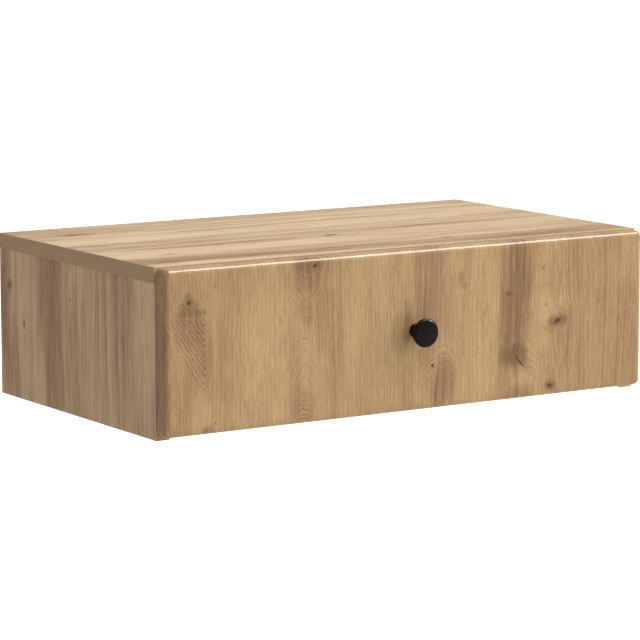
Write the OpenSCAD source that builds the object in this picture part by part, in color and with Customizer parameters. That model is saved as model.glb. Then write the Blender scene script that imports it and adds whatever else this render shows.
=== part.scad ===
// Wall-mounted side table with one drawer.
// X runs along the width, Y points into the wall and Z points up.
// The origin is the middle of the four wall screws, on the plane of the wall.

/* [Carcass] */
// Width over the side bands of the top
table_w = 600; // [520:10:900]
// Depth of the boards, from the wall to their front edges
carcass_d = 334; // [290:2:450]
// Height from the lower edge of the sides to the top face
carcass_h = 174; // [160:2:260]
// Thickness of the carcass boards
board_t = 16; // [15:1:19]
// Thickness of the glued edge bands
band_t = 1; // [1:0.1:2]
// Radius of the eased edges of the bands, less than their thickness
band_r = 0.7; // [0.2:0.1:0.9]
// Height of the bottom board above the lower edge of the sides
bottom_recess = 5; // [2:1:15]
// Thickness of the back panel
back_t = 3; // [2.5:0.5:4]
// Width of the rebate that takes the back panel
rebate_w = 8; // [6:0.5:9]

/* [Wall rail] */
// Height of the board that the wall screws pass through
rail_h = 80; // [76:2:90]
// Diameter of the wall screw holes
wall_hole_d = 6; // [4:0.5:8]
// Distance between the wall screws along the width
wall_span_x = 400; // [300:10:420]
// Distance between the two rows of wall screws
wall_span_z = 40; // [30:1:44]

/* [Drawer front] */
// Thickness of the drawer front
front_t = 16; // [16:1:22]
// Radius of the front's rounded edges and corners
front_r = 7; // [3:0.5:9]
// Distance of the front's ends from the ends of the top
front_inset = 1.5; // [1:0.5:4]
// Distance of the front's upper edge below the top face
front_drop = 1; // [0.5:0.5:6]
// Distance of the front's lower edge above the lower edge of the sides
front_rise = 4; // [1:0.5:8]
// Gap between the closed front and the carcass
front_gap = 1.5; // [1:0.5:3]

/* [Drawer box] */
// Thickness of the drawer's boards
box_t = 12; // [10:1:14]
// Space above the drawer box, under the top
box_top_gap = 25; // [10:1:30]
// Space between the drawer box and the bottom board
box_floor_gap = 12; // [6:1:16]
// Space between the drawer box and the wall rail
box_rear_gap = 11.5; // [8:0.5:30]
// Thickness of the drawer bottom
tray_t = 3; // [2.5:0.5:4]
// Height of the drawer bottom above the lower edge of the drawer's boards
tray_up = 10; // [8:1:14]
// Depth of the groove that holds the drawer bottom
groove_d = 5; // [3:0.5:6]

/* [Runners] */
// Height of the ball-bearing runner
runner_h = 45; // [42:1:50]
// Thickness of the runner, between the carcass side and the drawer
runner_t = 12.7; // [12.7:0.1:14]
// Thickness of the runner's steel sheet
sheet_t = 1.2; // [1:0.1:1.4]
// Distance of the runner behind the front edge of the side
runner_setback = 3; // [2:0.5:6]
// Length of the runner that stays covered when the drawer is open
runner_keep = 20; // [15:1:60]
// Diameter of the balls
ball_d = 4; // [3.5:0.1:4.2]
// Balls in each of the four rows of a runner
row_balls = 8; // [4:1:10]

/* [Knob] */
// Diameter of the knob's head
knob_d = 30; // [24:1:40]
// How far the knob stands out of the front
knob_out = 23; // [20:1:32]
// Thickness of the knob's head at its rim
knob_rim = 7; // [6:0.5:10]
// Diameter of the knob's foot
knob_foot_d = 15; // [13:0.5:20]

/* [Fittings] */
// Diameter of the cam locks
cam_d = 15; // [12:0.5:16]
// Distance of a cam's centre from the joint
cam_setback = 34; // [24:1:36]
// Diameter of the dowels
dowel_d = 8; // [6:0.5:8]
// Length of the dowels
dowel_l = 30; // [26:1:35]
// Diameter of the chipboard screws' shanks
screw_d = 3.5; // [3:0.1:4]
// Diameter of the chipboard screws' heads
screw_head_d = 6.8; // [6:0.1:7.4]
// Diameter of the long screws that hold the drawer box together
box_screw_d = 4; // [3.5:0.1:4.5]
// Length of the long screws that hold the drawer box together
box_screw_l = 40; // [35:1:50]

/* [Fits] */
// Clearance round each pin, screw or panel in its hole or groove
fit = 0.1; // [0.05:0.01:0.15]
// Running clearance of the balls
run = 0.05; // [0.03:0.01:0.08]

/* [Hidden] */
$fn = 64;
overrun = 1;

// Heights: the rail is centred on the wall screws and lies under the top
under_top_z = rail_h / 2;
top_z = under_top_z + board_t;
base_z = top_z - carcass_h;
bottom_z = base_z + bottom_recess;
floor_z = bottom_z + board_t;

// Widths and depths of the carcass
side_x = table_w / 2 - band_t;
inner_x = side_x - board_t;
edge_y = -carcass_d;
core_y = edge_y + band_t;
rail_y = -back_t - board_t;

// Drawer front
front_x = table_w / 2 - front_inset;
front_low_z = base_z + front_rise;
front_high_z = top_z - front_drop;
front_mid_z = (front_low_z + front_high_z) / 2;
front_back_y = edge_y - front_gap;
front_face_y = front_back_y - front_t;

// Drawer box
box_x = inner_x - runner_t;
box_in_x = box_x - box_t;
box_rear_y = rail_y - box_rear_gap;
box_low_z = floor_z + box_floor_gap;
box_high_z = under_top_z - box_top_gap;
box_mid_z = (box_low_z + box_high_z) / 2;
tray_z = box_low_z + tray_up;

// Corner fittings: cams and dowels stand this far from the ends of an edge
cam_from_edge = 50;
dowel_step = 32;
rail_dowel_z = 25;
drill_skin = 5;
cam_floor = 4.5;
cam_cross_l = 8;
cam_cross_w = 1.6;
cam_cross_d = 1.5;
bolt_d = 6;
bolt_head_d = 6.8;
bolt_head_l = 3;
bolt_thread_d = 5;
bolt_hole_d = 8;
cam_h = board_t / 2 + cam_floor;
face_depth = board_t - drill_skin;

// Screws
head_cone_h = 1.8;
pan_h = 1.8;
cross_l_share = 0.6;
cross_w_share = 0.14;
cross_d_share = 0.5;
box_head_d = 7.6;
back_screw_l = 14;
back_screw_d = 2.6;
back_screw_head_d = 5.6;
back_screw_head_h = 1.4;
back_x_shares = [-0.7, 0, 0.7];
back_z_shares = [0.3, 0.9];
front_skin = 4;
front_screw_x_share = 0.7;
front_screw_up = 12;
front_screw_down = 25;
box_screw_z = 20;

// Runner section, from the carcass side towards the drawer
ball_sink = 0.35;
cage_t = 0.5;
cage_gap = 0.15;
flange_edge = 1.5;
lip_h = 0.7;
runner_rear_tail = 0.5;
runner_screw_l = 14;
runner_screw_end = 30;
tip_skin = 1.5;
access_d = 10;
cage_margin = 10;
cage_end = 6;
ball_r = ball_d / 2;
race_offset = ball_r - ball_sink;
middle_u = sheet_t + cage_t + 2 * cage_gap;
inner_u = middle_u + sheet_t + cage_t + 2 * cage_gap;
ball_u = inner_u + ball_r;
flange_u = ball_u + ball_r + flange_edge;
cage_u = ball_u + ball_r + flange_edge / 3;
outer_ball_z = runner_h / 2 - sheet_t - race_offset;
middle_z = outer_ball_z - race_offset;
inner_ball_z = middle_z - sheet_t - race_offset;
inner_z = inner_ball_z - race_offset;
runner_front_y = edge_y + runner_setback;
runner_rear_y = box_rear_y - runner_rear_tail;
runner_l = runner_rear_y - runner_front_y;
runner_mid_y = (runner_rear_y + runner_front_y) / 2;
drawer_travel = runner_l - runner_keep;
cage_l = runner_l - drawer_travel / 2 - cage_margin;
ball_pitch = (cage_l - 2 * cage_end) / (row_balls - 1);
runner_screw_y = [
    runner_front_y + runner_screw_end, runner_mid_y, runner_rear_y - runner_screw_end
];

// Knob
knob_bore_depth = 10;
knob_screw_d = 4;
knob_screw_head_d = 8;
knob_screw_head_h = 2.4;
knob_grip = 8;
knob_washer_d = 11;
knob_washer_t = 0.8;
knob_waist_share = 0.8;
knob_crown = 0.8;
knob_rim_r = 2.6;

// Rubber dots between the closed front and the side boards
bumper_d = 8;
bumper_from_edge = 12;

// Colours
oak = [0.78, 0.64, 0.46];
oak_side = [0.66, 0.53, 0.38];
oak_front = [0.74, 0.60, 0.42];
taupe = [0.52, 0.44, 0.34];
white_board = [0.90, 0.89, 0.86];
hardboard = [0.86, 0.84, 0.79];
beech = [0.85, 0.70, 0.50];
zinc = [0.72, 0.73, 0.75];
black = [0.12, 0.11, 0.11];
rubber_clear = [0.80, 0.80, 0.78];

// A joint is a place on the face of a board, the way into that board, and the way
// that the cam faces. Its frame has X into the board and Z towards the cam's face.
UP = [0, 0, 1];
DOWN = [0, 0, -1];
LEFT = [-1, 0, 0];
RIGHT = [1, 0, 0];
FORWARD = [0, -1, 0];
cam_y = [core_y + cam_from_edge, -cam_from_edge];
dowel_y = [core_y + cam_from_edge + dowel_step, -cam_from_edge - dowel_step];
side_mid_x = side_x - board_t / 2;
bottom_mid_z = bottom_z + board_t / 2;
rail_mid_y = rail_y + board_t / 2;

function top_joints(ys) = [
    for (y = ys) each [
        [[-side_mid_x, y, under_top_z], UP, RIGHT],
        [[side_mid_x, y, under_top_z], UP, LEFT]
    ]
];
function bottom_joints(ys) = [
    for (y = ys) each [
        [[-inner_x, y, bottom_mid_z], LEFT, DOWN],
        [[inner_x, y, bottom_mid_z], RIGHT, DOWN]
    ]
];
function rail_joints(zs) = [
    for (z = zs) each [
        [[-inner_x, rail_mid_y, z], LEFT, FORWARD],
        [[inner_x, rail_mid_y, z], RIGHT, FORWARD]
    ]
];
rail_cam_z = [0];
rail_dowel_zs = [-rail_dowel_z, rail_dowel_z];
all_cams = concat(top_joints(cam_y), bottom_joints(cam_y), rail_joints(rail_cam_z));
all_dowels = concat(top_joints(dowel_y), bottom_joints(dowel_y), rail_joints(rail_dowel_zs));
back_screw_places = concat(
    [for (s = back_x_shares) [s * inner_x, 0, under_top_z + rebate_w / 2]],
    [for (s = back_x_shares) [s * inner_x, 0, bottom_mid_z]],
    [for (s = back_z_shares, e = [-1, 1])
        [e * (inner_x + rebate_w / 2), 0, bottom_z + s * (-rail_h / 2 - bottom_z)]]
);
box_screw_places = [
    for (e = [-1, 1], y = [front_back_y + box_t / 2, box_rear_y - box_t / 2],
        z = [box_low_z + box_screw_z, box_high_z - box_screw_z]) [e * box_x, y, z]
];
front_screw_places = [
    for (e = [-1, 1], z = [tray_z + tray_t + front_screw_up, box_high_z - front_screw_down])
        [e * front_screw_x_share * box_in_x, front_back_y + box_t, z]
];

module block(lo, hi) {
    translate(lo) cube(hi - lo);
}

// The section of a band: its glued face on y = 0, from x = 0 to w, its outer edges eased
module band_section(w) {
    square([w, band_t - band_r]);
    translate([band_r, 0]) square([w - 2 * band_r, band_t]);
    intersection() {
        for (x = [band_r, w - band_r]) translate([x, band_t - band_r]) circle(r = band_r);
        square([w, band_t]);
    }
}

// Stands its children on a joint: X into the board, Z towards the cam's face
module at_joint(joint) {
    p = joint[0];
    n = joint[1];
    c = joint[2];
    m = cross(c, n);
    multmatrix([
        [n.x, m.x, c.x, p.x],
        [n.y, m.y, c.y, p.y],
        [n.z, m.z, c.z, p.z],
        [0, 0, 0, 1]
    ]) children();
}

// A cylinder along X, from x0 to x1
module rod_x(x0, x1, d) {
    translate([x0, 0, 0]) rotate([0, 90, 0]) cylinder(h = x1 - x0, d = d);
}

// A cone along X, from x0 to x1
module cone_x(x0, x1, d0, d1) {
    translate([x0, 0, 0]) rotate([0, 90, 0]) cylinder(h = x1 - x0, d1 = d0, d2 = d1);
}

// The cross-shaped recess of a screw head whose outer face is at x0
module cross_recess(x0, head_d, head_h) {
    l = cross_l_share * head_d;
    w = cross_w_share * head_d;
    d = cross_d_share * head_h;
    for (s = [[l, w], [w, l]])
        block([x0 - overrun, -s[0] / 2, -s[1] / 2], [x0 + d, s[0] / 2, s[1] / 2]);
}

// A countersunk screw whose head lies flush with x = 0 and whose tip points along X
module flat_screw(d, l, head_d, head_h) {
    difference() {
        union() {
            cone_x(0, head_h, head_d, d);
            rod_x(head_h, l, d);
        }
        cross_recess(0, head_d, head_h);
    }
}

module flat_screw_hole(d, l, head_d, head_h) {
    cone_x(0, head_h, head_d + 2 * fit, d + 2 * fit);
    rod_x(-overrun, 0, head_d + 2 * fit);
    rod_x(0, l + fit, d + 2 * fit);
}

// A pan-head screw whose head stands before x = 0
module pan_screw(d, l, head_d, head_h) {
    difference() {
        union() {
            rod_x(-head_h, 0, head_d);
            rod_x(-overrun, l, d);
        }
        cross_recess(-head_h, head_d, head_h);
    }
}

module pan_screw_hole(d, l) {
    rod_x(-overrun, l + fit, d + 2 * fit);
}

// Holes in the board whose edge meets the joint
module cam_cuts_edge(joint) {
    at_joint(joint) {
        translate([-cam_setback, 0, board_t / 2 - cam_h - fit])
            cylinder(h = cam_h + fit + overrun, d = cam_d + 2 * fit);
        rod_x(-cam_setback, overrun, bolt_hole_d);
    }
}

// Hole in the board whose face meets the joint
module cam_cuts_face(joint) {
    at_joint(joint) rod_x(-overrun, face_depth + fit, bolt_thread_d + 2 * fit);
}

module dowel_cuts_edge(joint) {
    at_joint(joint) rod_x(face_depth - dowel_l - fit, overrun, dowel_d + 2 * fit);
}

module dowel_cuts_face(joint) {
    at_joint(joint) rod_x(-overrun, face_depth + fit, dowel_d + 2 * fit);
}

module edge_drilling(cams, dowels) {
    for (j = cams) cam_cuts_edge(j);
    for (j = dowels) dowel_cuts_edge(j);
}

module face_drilling(cams, dowels) {
    for (j = cams) cam_cuts_face(j);
    for (j = dowels) dowel_cuts_face(j);
}

module back_screw_holes() {
    for (p = back_screw_places)
        translate(p) rotate([0, 0, -90])
            flat_screw_hole(back_screw_d, back_screw_l, back_screw_head_d, back_screw_head_h);
}

// Space of the back panel, with its clearance, cut into the top and the sides
module back_room() {
    block([-inner_x - rebate_w, -back_t, bottom_z - fit],
        [inner_x + rebate_w, overrun, under_top_z + rebate_w]);
}

module wall_holes() {
    for (x = [-1, 1], z = [-1, 1])
        translate([x * wall_span_x / 2, rail_y - overrun, z * wall_span_z / 2])
            rotate([-90, 0, 0]) cylinder(h = -rail_y + 2 * overrun, d = wall_hole_d);
}

module top_panel() {
    color(oak) difference() {
        block([-side_x, core_y, under_top_z], [side_x, 0, top_z]);
        face_drilling(top_joints(cam_y), top_joints(dowel_y));
        back_room();
        back_screw_holes();
    }
}

module top_band_left() {
    color(taupe) translate([-side_x, 0, under_top_z]) rotate([90, -90, 0])
        linear_extrude(carcass_d) band_section(board_t);
}

module top_band_right() {
    mirror([1, 0, 0]) top_band_left();
}

module top_band_front() {
    color(taupe) translate([-side_x, core_y, under_top_z]) rotate([90, -90, 90])
        linear_extrude(2 * side_x) band_section(board_t);
}

module side_panel_left() {
    color(oak_side) difference() {
        block([-side_x, core_y, base_z + band_t], [-inner_x, 0, under_top_z]);
        edge_drilling(top_joints(cam_y), top_joints(dowel_y));
        face_drilling(
            concat(bottom_joints(cam_y), rail_joints(rail_cam_z)),
            concat(bottom_joints(dowel_y), rail_joints(rail_dowel_zs))
        );
        back_room();
        back_screw_holes();
        runner_outer_screw_places() flat_screw_hole(screw_d, runner_screw_l, screw_head_d, head_cone_h);
    }
}

module side_panel_right() {
    mirror([1, 0, 0]) side_panel_left();
}

module side_front_band_left() {
    color(oak_side) translate([-inner_x, core_y, base_z]) rotate([0, 0, 180])
        linear_extrude(under_top_z - base_z) band_section(board_t);
}

module side_front_band_right() {
    mirror([1, 0, 0]) side_front_band_left();
}

module side_lower_band_left() {
    color(oak_side) translate([-inner_x, 0, base_z + band_t]) rotate([90, 180, 0])
        linear_extrude(-core_y) band_section(board_t);
}

module side_lower_band_right() {
    mirror([1, 0, 0]) side_lower_band_left();
}

module bottom_panel() {
    color(oak) difference() {
        block([-inner_x, core_y, bottom_z], [inner_x, -back_t, floor_z]);
        edge_drilling(bottom_joints(cam_y), bottom_joints(dowel_y));
        back_screw_holes();
    }
}

module bottom_front_band() {
    color(oak_side) translate([-inner_x, core_y, bottom_z]) rotate([90, -90, 90])
        linear_extrude(2 * inner_x) band_section(board_t);
}

module back_panel() {
    color(hardboard) difference() {
        block([-inner_x - rebate_w + fit, -back_t, bottom_z],
            [inner_x + rebate_w - fit, 0, under_top_z + rebate_w - fit]);
        wall_holes();
        back_screw_holes();
    }
}

module back_panel_screws() {
    color(zinc) for (p = back_screw_places)
        translate(p) rotate([0, 0, -90])
            flat_screw(back_screw_d, back_screw_l, back_screw_head_d, back_screw_head_h);
}

module mounting_rail() {
    color(oak) difference() {
        block([-inner_x, rail_y, -rail_h / 2], [inner_x, -back_t, rail_h / 2]);
        edge_drilling(rail_joints(rail_cam_z), rail_joints(rail_dowel_zs));
        wall_holes();
    }
}

// A cam lock: a drum with a slot for the bolt's head and a cross on its face
module cam_lock() {
    slot_r = bolt_head_d / 2 + fit;
    translate([-cam_setback, 0, 0]) difference() {
        translate([0, 0, board_t / 2 - cam_h]) cylinder(h = cam_h, d = cam_d);
        block([-slot_r, -slot_r, -slot_r], [cam_d, slot_r, slot_r]);
        for (s = [[cam_cross_l, cam_cross_w], [cam_cross_w, cam_cross_l]])
            block([-s[0] / 2, -s[1] / 2, board_t / 2 - cam_cross_d],
                [s[0] / 2, s[1] / 2, board_t / 2 + overrun]);
    }
}

module cam_bolt() {
    rod_x(-cam_setback - bolt_head_l / 2, -cam_setback + bolt_head_l / 2, bolt_head_d);
    rod_x(-cam_setback, 0, bolt_d);
    rod_x(0, face_depth, bolt_thread_d);
}

module cam_locks() {
    color(zinc) for (j = all_cams) at_joint(j) cam_lock();
}

module cam_bolts() {
    color(zinc) for (j = all_cams) at_joint(j) cam_bolt();
}

module carcass_dowels() {
    color(beech) for (j = all_dowels) at_joint(j) rod_x(face_depth - dowel_l, face_depth, dowel_d);
}

// Carries a section drawn as (distance from the carcass side, height) along the left runner
module run_left(y_mid, l) {
    translate([-inner_x, y_mid + l / 2, box_mid_z]) rotate([90, 0, 0]) linear_extrude(l) children();
}

// A channel with its web at u0, its flanges up to u1 and its outer faces at half height z
module channel(u0, u1, z, web_u) {
    translate([web_u, -z]) square([sheet_t, 2 * z]);
    for (v = [-z, z - sheet_t]) translate([u0, v]) square([u1 - u0, sheet_t]);
}

module races(z) {
    for (s = [-1, 1]) translate([ball_u, s * z]) circle(r = ball_r + run);
}

module runner_outer_screw_places() {
    for (y = runner_screw_y) translate([-inner_x + sheet_t, y, box_mid_z]) mirror([1, 0, 0]) children();
}

module runner_inner_screw_places() {
    for (y = runner_screw_y) translate([-box_x - sheet_t, y, box_mid_z]) children();
}

module runner_outer_left() {
    color(zinc) difference() {
        run_left(runner_mid_y, runner_l) difference() {
            union() {
                channel(0, flange_u, runner_h / 2, 0);
                for (v = [-runner_h / 2, runner_h / 2 - sheet_t - lip_h])
                    translate([flange_u - sheet_t, v]) square([sheet_t, sheet_t + lip_h]);
            }
            races(outer_ball_z);
        }
        runner_outer_screw_places() flat_screw_hole(screw_d, runner_screw_l, screw_head_d, head_cone_h);
    }
}

module runner_outer_right() {
    mirror([1, 0, 0]) runner_outer_left();
}

module runner_outer_screws() {
    color(zinc) for (s = [0, 1]) mirror([s, 0, 0])
        runner_outer_screw_places() flat_screw(screw_d, runner_screw_l, screw_head_d, head_cone_h);
}

module runner_middle_left() {
    color(zinc) difference() {
        run_left(runner_mid_y, runner_l) difference() {
            channel(middle_u, flange_u, middle_z, middle_u);
            races(outer_ball_z);
            races(inner_ball_z);
        }
        for (y = runner_screw_y)
            translate([-inner_x, y, box_mid_z]) rod_x(middle_u - overrun, inner_u + overrun, access_d);
    }
}

module runner_middle_right() {
    mirror([1, 0, 0]) runner_middle_left();
}

module runner_inner_left() {
    color(zinc) difference() {
        run_left(runner_mid_y, runner_l) difference() {
            channel(inner_u, runner_t, inner_z, runner_t - sheet_t);
            races(inner_ball_z);
        }
        runner_inner_screw_places() pan_screw_hole(screw_d, sheet_t + overrun);
    }
}

module runner_inner_right() {
    mirror([1, 0, 0]) runner_inner_left();
}

inner_screw_l = sheet_t + box_t - tip_skin;

module runner_inner_screws() {
    color(zinc) for (s = [0, 1]) mirror([s, 0, 0])
        runner_inner_screw_places() pan_screw(screw_d, inner_screw_l, screw_head_d, pan_h);
}

// Places of the balls of one pair of rows, at half height z
module ball_places(z) {
    for (s = [-1, 1], i = [0:row_balls - 1])
        translate([-inner_x + ball_u, runner_mid_y - cage_l / 2 + cage_end + i * ball_pitch, box_mid_z + s * z])
            children();
}

// A cage: a thin web behind a pair of arms that the balls sit in
module cage(u0, z) {
    difference() {
        run_left(runner_mid_y, cage_l) {
            translate([u0, -z - cage_t / 2]) square([cage_t, 2 * z + cage_t]);
            for (s = [-1, 1]) translate([u0, s * z - cage_t / 2]) square([cage_u - u0, cage_t]);
        }
        ball_places(z) cylinder(h = 2 * cage_t, r = ball_r + run, center = true);
    }
}

module balls(z) {
    ball_places(z) sphere(r = ball_r, $fn = 24);
}

module outer_cage_left() {
    color(zinc) cage(sheet_t + cage_gap, outer_ball_z);
}

module outer_cage_right() {
    mirror([1, 0, 0]) outer_cage_left();
}

module outer_balls_left() {
    color(zinc) balls(outer_ball_z);
}

module outer_balls_right() {
    mirror([1, 0, 0]) outer_balls_left();
}

module inner_cage_left() {
    color(zinc) cage(middle_u + sheet_t + cage_gap, inner_ball_z);
}

module inner_cage_right() {
    mirror([1, 0, 0]) inner_cage_left();
}

module inner_balls_left() {
    color(zinc) balls(inner_ball_z);
}

module inner_balls_right() {
    mirror([1, 0, 0]) inner_balls_left();
}

// A slab with round corners and a rounded rim round its face
module rounded_slab() {
    x = front_x - front_r;
    low = front_low_z + front_r;
    high = front_high_z - front_r;
    rim_y = front_face_y + front_r;
    for (s = [-1, 1], z = [low, high]) {
        translate([s * x, rim_y, z]) {
            rotate([-90, 0, 0]) cylinder(h = front_back_y - rim_y, r = front_r);
            sphere(r = front_r);
        }
    }
    for (z = [low, high]) translate([0, rim_y, z]) rod_x(-x, x, 2 * front_r);
    for (s = [-1, 1]) translate([s * x, rim_y, low]) cylinder(h = high - low, r = front_r);
    block([-x, front_face_y, low], [x, front_back_y, high]);
    block([-front_x, rim_y, low], [front_x, front_back_y, high]);
    block([-x, rim_y, front_low_z], [x, front_back_y, front_high_z]);
}

module knob_hole() {
    translate([0, front_back_y + box_t + overrun, front_mid_z])
        rotate([90, 0, 0]) cylinder(h = box_t + front_t + 2 * overrun, d = knob_screw_d + 2 * fit);
}

module front_screw_turn() {
    for (p = front_screw_places) translate(p) rotate([0, 0, -90]) children();
}

front_screw_l = box_t + front_t - front_skin;

module drawer_front() {
    color(oak_front) difference() {
        rounded_slab();
        knob_hole();
        front_screw_turn() pan_screw_hole(screw_d, front_screw_l);
    }
}

// Space of the drawer bottom, with its clearance, cut into the drawer's boards
module tray_room() {
    block([-box_in_x - groove_d, front_back_y + box_t - groove_d, tray_z - fit],
        [box_in_x + groove_d, box_rear_y - box_t + groove_d, tray_z + tray_t + fit]);
}

module box_screw_turn() {
    for (p = box_screw_places) translate(p) mirror([p.x > 0 ? 1 : 0, 0, 0]) children();
}

module box_screw_holes() {
    box_screw_turn() flat_screw_hole(box_screw_d, box_screw_l, box_head_d, head_cone_h);
}

module drawer_box_front() {
    color(white_board) difference() {
        block([-box_in_x, front_back_y, box_low_z], [box_in_x, front_back_y + box_t, box_high_z]);
        tray_room();
        box_screw_holes();
        knob_hole();
        front_screw_turn() pan_screw_hole(screw_d, front_screw_l);
    }
}

module drawer_back() {
    color(white_board) difference() {
        block([-box_in_x, box_rear_y - box_t, box_low_z], [box_in_x, box_rear_y, box_high_z]);
        tray_room();
        box_screw_holes();
    }
}

module drawer_side_left() {
    color(white_board) difference() {
        block([-box_x, front_back_y, box_low_z], [-box_in_x, box_rear_y, box_high_z]);
        tray_room();
        box_screw_holes();
        runner_inner_screw_places() pan_screw_hole(screw_d, inner_screw_l);
    }
}

module drawer_side_right() {
    mirror([1, 0, 0]) drawer_side_left();
}

module drawer_bottom() {
    color(hardboard) block([-box_in_x - groove_d + fit, front_back_y + box_t - groove_d + fit, tray_z],
        [box_in_x + groove_d - fit, box_rear_y - box_t + groove_d - fit, tray_z + tray_t]);
}

module drawer_box_screws() {
    color(zinc) box_screw_turn() flat_screw(box_screw_d, box_screw_l, box_head_d, head_cone_h);
}

module front_fixing_screws() {
    color(zinc) front_screw_turn() pan_screw(screw_d, front_screw_l, screw_head_d, pan_h);
}

// Half the knob's outline, as distance from its axis and distance from the front
function arc(cx, cy, r, a0, a1, n) = [
    for (i = [0:n]) [cx + r * cos(a0 + (a1 - a0) * i / n), cy + r * sin(a0 + (a1 - a0) * i / n)]
];
knob_r = knob_d / 2;
knob_foot_r = knob_foot_d / 2;
knob_waist_r = knob_waist_share * knob_foot_r;
knob_neck_y = knob_out - knob_rim;
knob_flare_x = knob_r - knob_rim_r - knob_waist_r;
knob_outline = concat(
    [[knob_screw_d / 2 + fit, 0], [knob_foot_r, 0]],
    [for (i = [1:6]) let (a = 90 * i / 6)
        [knob_waist_r + (knob_foot_r - knob_waist_r) * (1 - sin(a)), knob_neck_y / 2 * (1 - cos(a))]],
    [for (i = [1:8]) let (a = 90 * i / 8)
        [knob_waist_r + knob_flare_x * (1 - cos(a)), knob_neck_y / 2 * (1 + sin(a))]],
    arc(knob_r - knob_rim_r, knob_neck_y + knob_rim_r, knob_rim_r, -90, 0, 6),
    arc(knob_r - knob_rim_r, knob_out - knob_crown - knob_rim_r, knob_rim_r, 0, 90, 6),
    [[knob_r / 2, knob_out - knob_crown / 4], [0, knob_out]],
    [[0, knob_bore_depth], [knob_screw_d / 2 + fit, knob_bore_depth]]
);

module knob() {
    color(black) translate([0, front_face_y, front_mid_z])
        rotate([90, 0, 0]) rotate_extrude() polygon(knob_outline);
}

module knob_screw() {
    color(zinc) translate([0, front_back_y + box_t + knob_washer_t, front_mid_z]) rotate([0, 0, -90])
        pan_screw(knob_screw_d, knob_washer_t + box_t + front_t + knob_grip, knob_screw_head_d,
            knob_screw_head_h);
}

module knob_washer() {
    color(zinc) translate([0, front_back_y + box_t, front_mid_z]) rotate([-90, 0, 0]) difference() {
        cylinder(h = knob_washer_t, d = knob_washer_d);
        translate([0, 0, -overrun]) cylinder(h = knob_washer_t + 2 * overrun, d = knob_screw_d + 2 * fit);
    }
}

module front_bumpers() {
    for (s = [-1, 1], z = [front_low_z + bumper_from_edge, under_top_z - bumper_from_edge])
        color(rubber_clear) translate([s * side_mid_x, edge_y, z]) rotate([90, 0, 0])
            cylinder(h = front_gap, d = bumper_d);
}

top_panel();
top_band_left();
top_band_right();
top_band_front();
side_panel_left();
side_panel_right();
side_front_band_left();
side_front_band_right();
side_lower_band_left();
side_lower_band_right();
bottom_panel();
bottom_front_band();
back_panel();
back_panel_screws();
mounting_rail();
cam_locks();
cam_bolts();
carcass_dowels();
runner_outer_left();
runner_outer_right();
runner_outer_screws();
runner_middle_left();
runner_middle_right();
outer_cage_left();
outer_cage_right();
outer_balls_left();
outer_balls_right();
inner_cage_left();
inner_cage_right();
inner_balls_left();
inner_balls_right();
drawer_front();
drawer_box_front();
drawer_side_left();
drawer_side_right();
drawer_back();
drawer_bottom();
drawer_box_screws();
front_fixing_screws();
runner_inner_left();
runner_inner_right();
runner_inner_screws();
knob();
knob_screw();
knob_washer();
front_bumpers();
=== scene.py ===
"""Finishes and shaped pieces of a wall-mounted side table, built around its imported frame.

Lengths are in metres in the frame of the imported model, where nothing else is said: X runs
along the width, Y into the wall and Z up. Boards and fittings keep their own meshes and
get procedural finishes. The drawer front and the knob are surfaces worked out here from
formulas.
"""

import functools
import logging
import math
from abc import ABC, abstractmethod
from dataclasses import dataclass, field
from enum import Enum
from typing import Callable, Iterator, Sequence, Union

import bmesh
import bpy
import numpy as np
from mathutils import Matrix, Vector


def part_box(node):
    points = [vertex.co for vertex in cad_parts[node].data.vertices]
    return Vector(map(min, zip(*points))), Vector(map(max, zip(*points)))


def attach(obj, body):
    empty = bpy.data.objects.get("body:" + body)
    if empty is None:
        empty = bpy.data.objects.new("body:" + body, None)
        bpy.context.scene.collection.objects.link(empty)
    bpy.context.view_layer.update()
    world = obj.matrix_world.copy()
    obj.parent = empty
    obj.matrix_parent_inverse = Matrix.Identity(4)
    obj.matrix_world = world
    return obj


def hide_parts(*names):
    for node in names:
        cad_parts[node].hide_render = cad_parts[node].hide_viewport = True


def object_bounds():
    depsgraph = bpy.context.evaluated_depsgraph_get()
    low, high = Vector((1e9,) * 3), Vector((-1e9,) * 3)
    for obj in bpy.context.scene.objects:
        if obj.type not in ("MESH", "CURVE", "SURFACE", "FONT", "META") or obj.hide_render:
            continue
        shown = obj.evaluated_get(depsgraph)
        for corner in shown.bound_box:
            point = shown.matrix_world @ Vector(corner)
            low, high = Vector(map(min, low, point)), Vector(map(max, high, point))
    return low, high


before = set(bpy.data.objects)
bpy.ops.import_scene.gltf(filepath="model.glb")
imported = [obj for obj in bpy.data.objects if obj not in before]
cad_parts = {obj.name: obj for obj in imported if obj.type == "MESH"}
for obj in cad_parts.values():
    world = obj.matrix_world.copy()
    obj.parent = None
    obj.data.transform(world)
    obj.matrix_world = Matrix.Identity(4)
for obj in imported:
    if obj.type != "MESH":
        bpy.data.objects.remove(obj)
CAD_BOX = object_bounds()
LOG = logging.getLogger("side_table")
MM = 0.001
# A stain with a smaller half length than this, in millimetres, has the finer edge of a spot.
SPOT_LENGTH = 14.0
# Growth lines further apart than this, in millimetres, are drawn as fine as they are at this step.
LINE_STEP = 7.0
# The values of an oval mark and of an arch that their effects take. Lengths are in millimetres.
OVAL_LENGTHS = ("centre_across", "centre_along", "half_width", "half_length")
ARCH_LENGTHS = ("tip_across", "tip_along", "spacing", "roundness", "height", "half_width")
ARCH_SHAPE = ("way", "spread", "lean")

Colour = tuple[float, float, float]
Value = Union["Wire", float, Colour]


class Axis(Enum):
    """An axis of the frame, by its place in a point."""

    X = 0
    Y = 1
    Z = 2


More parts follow.
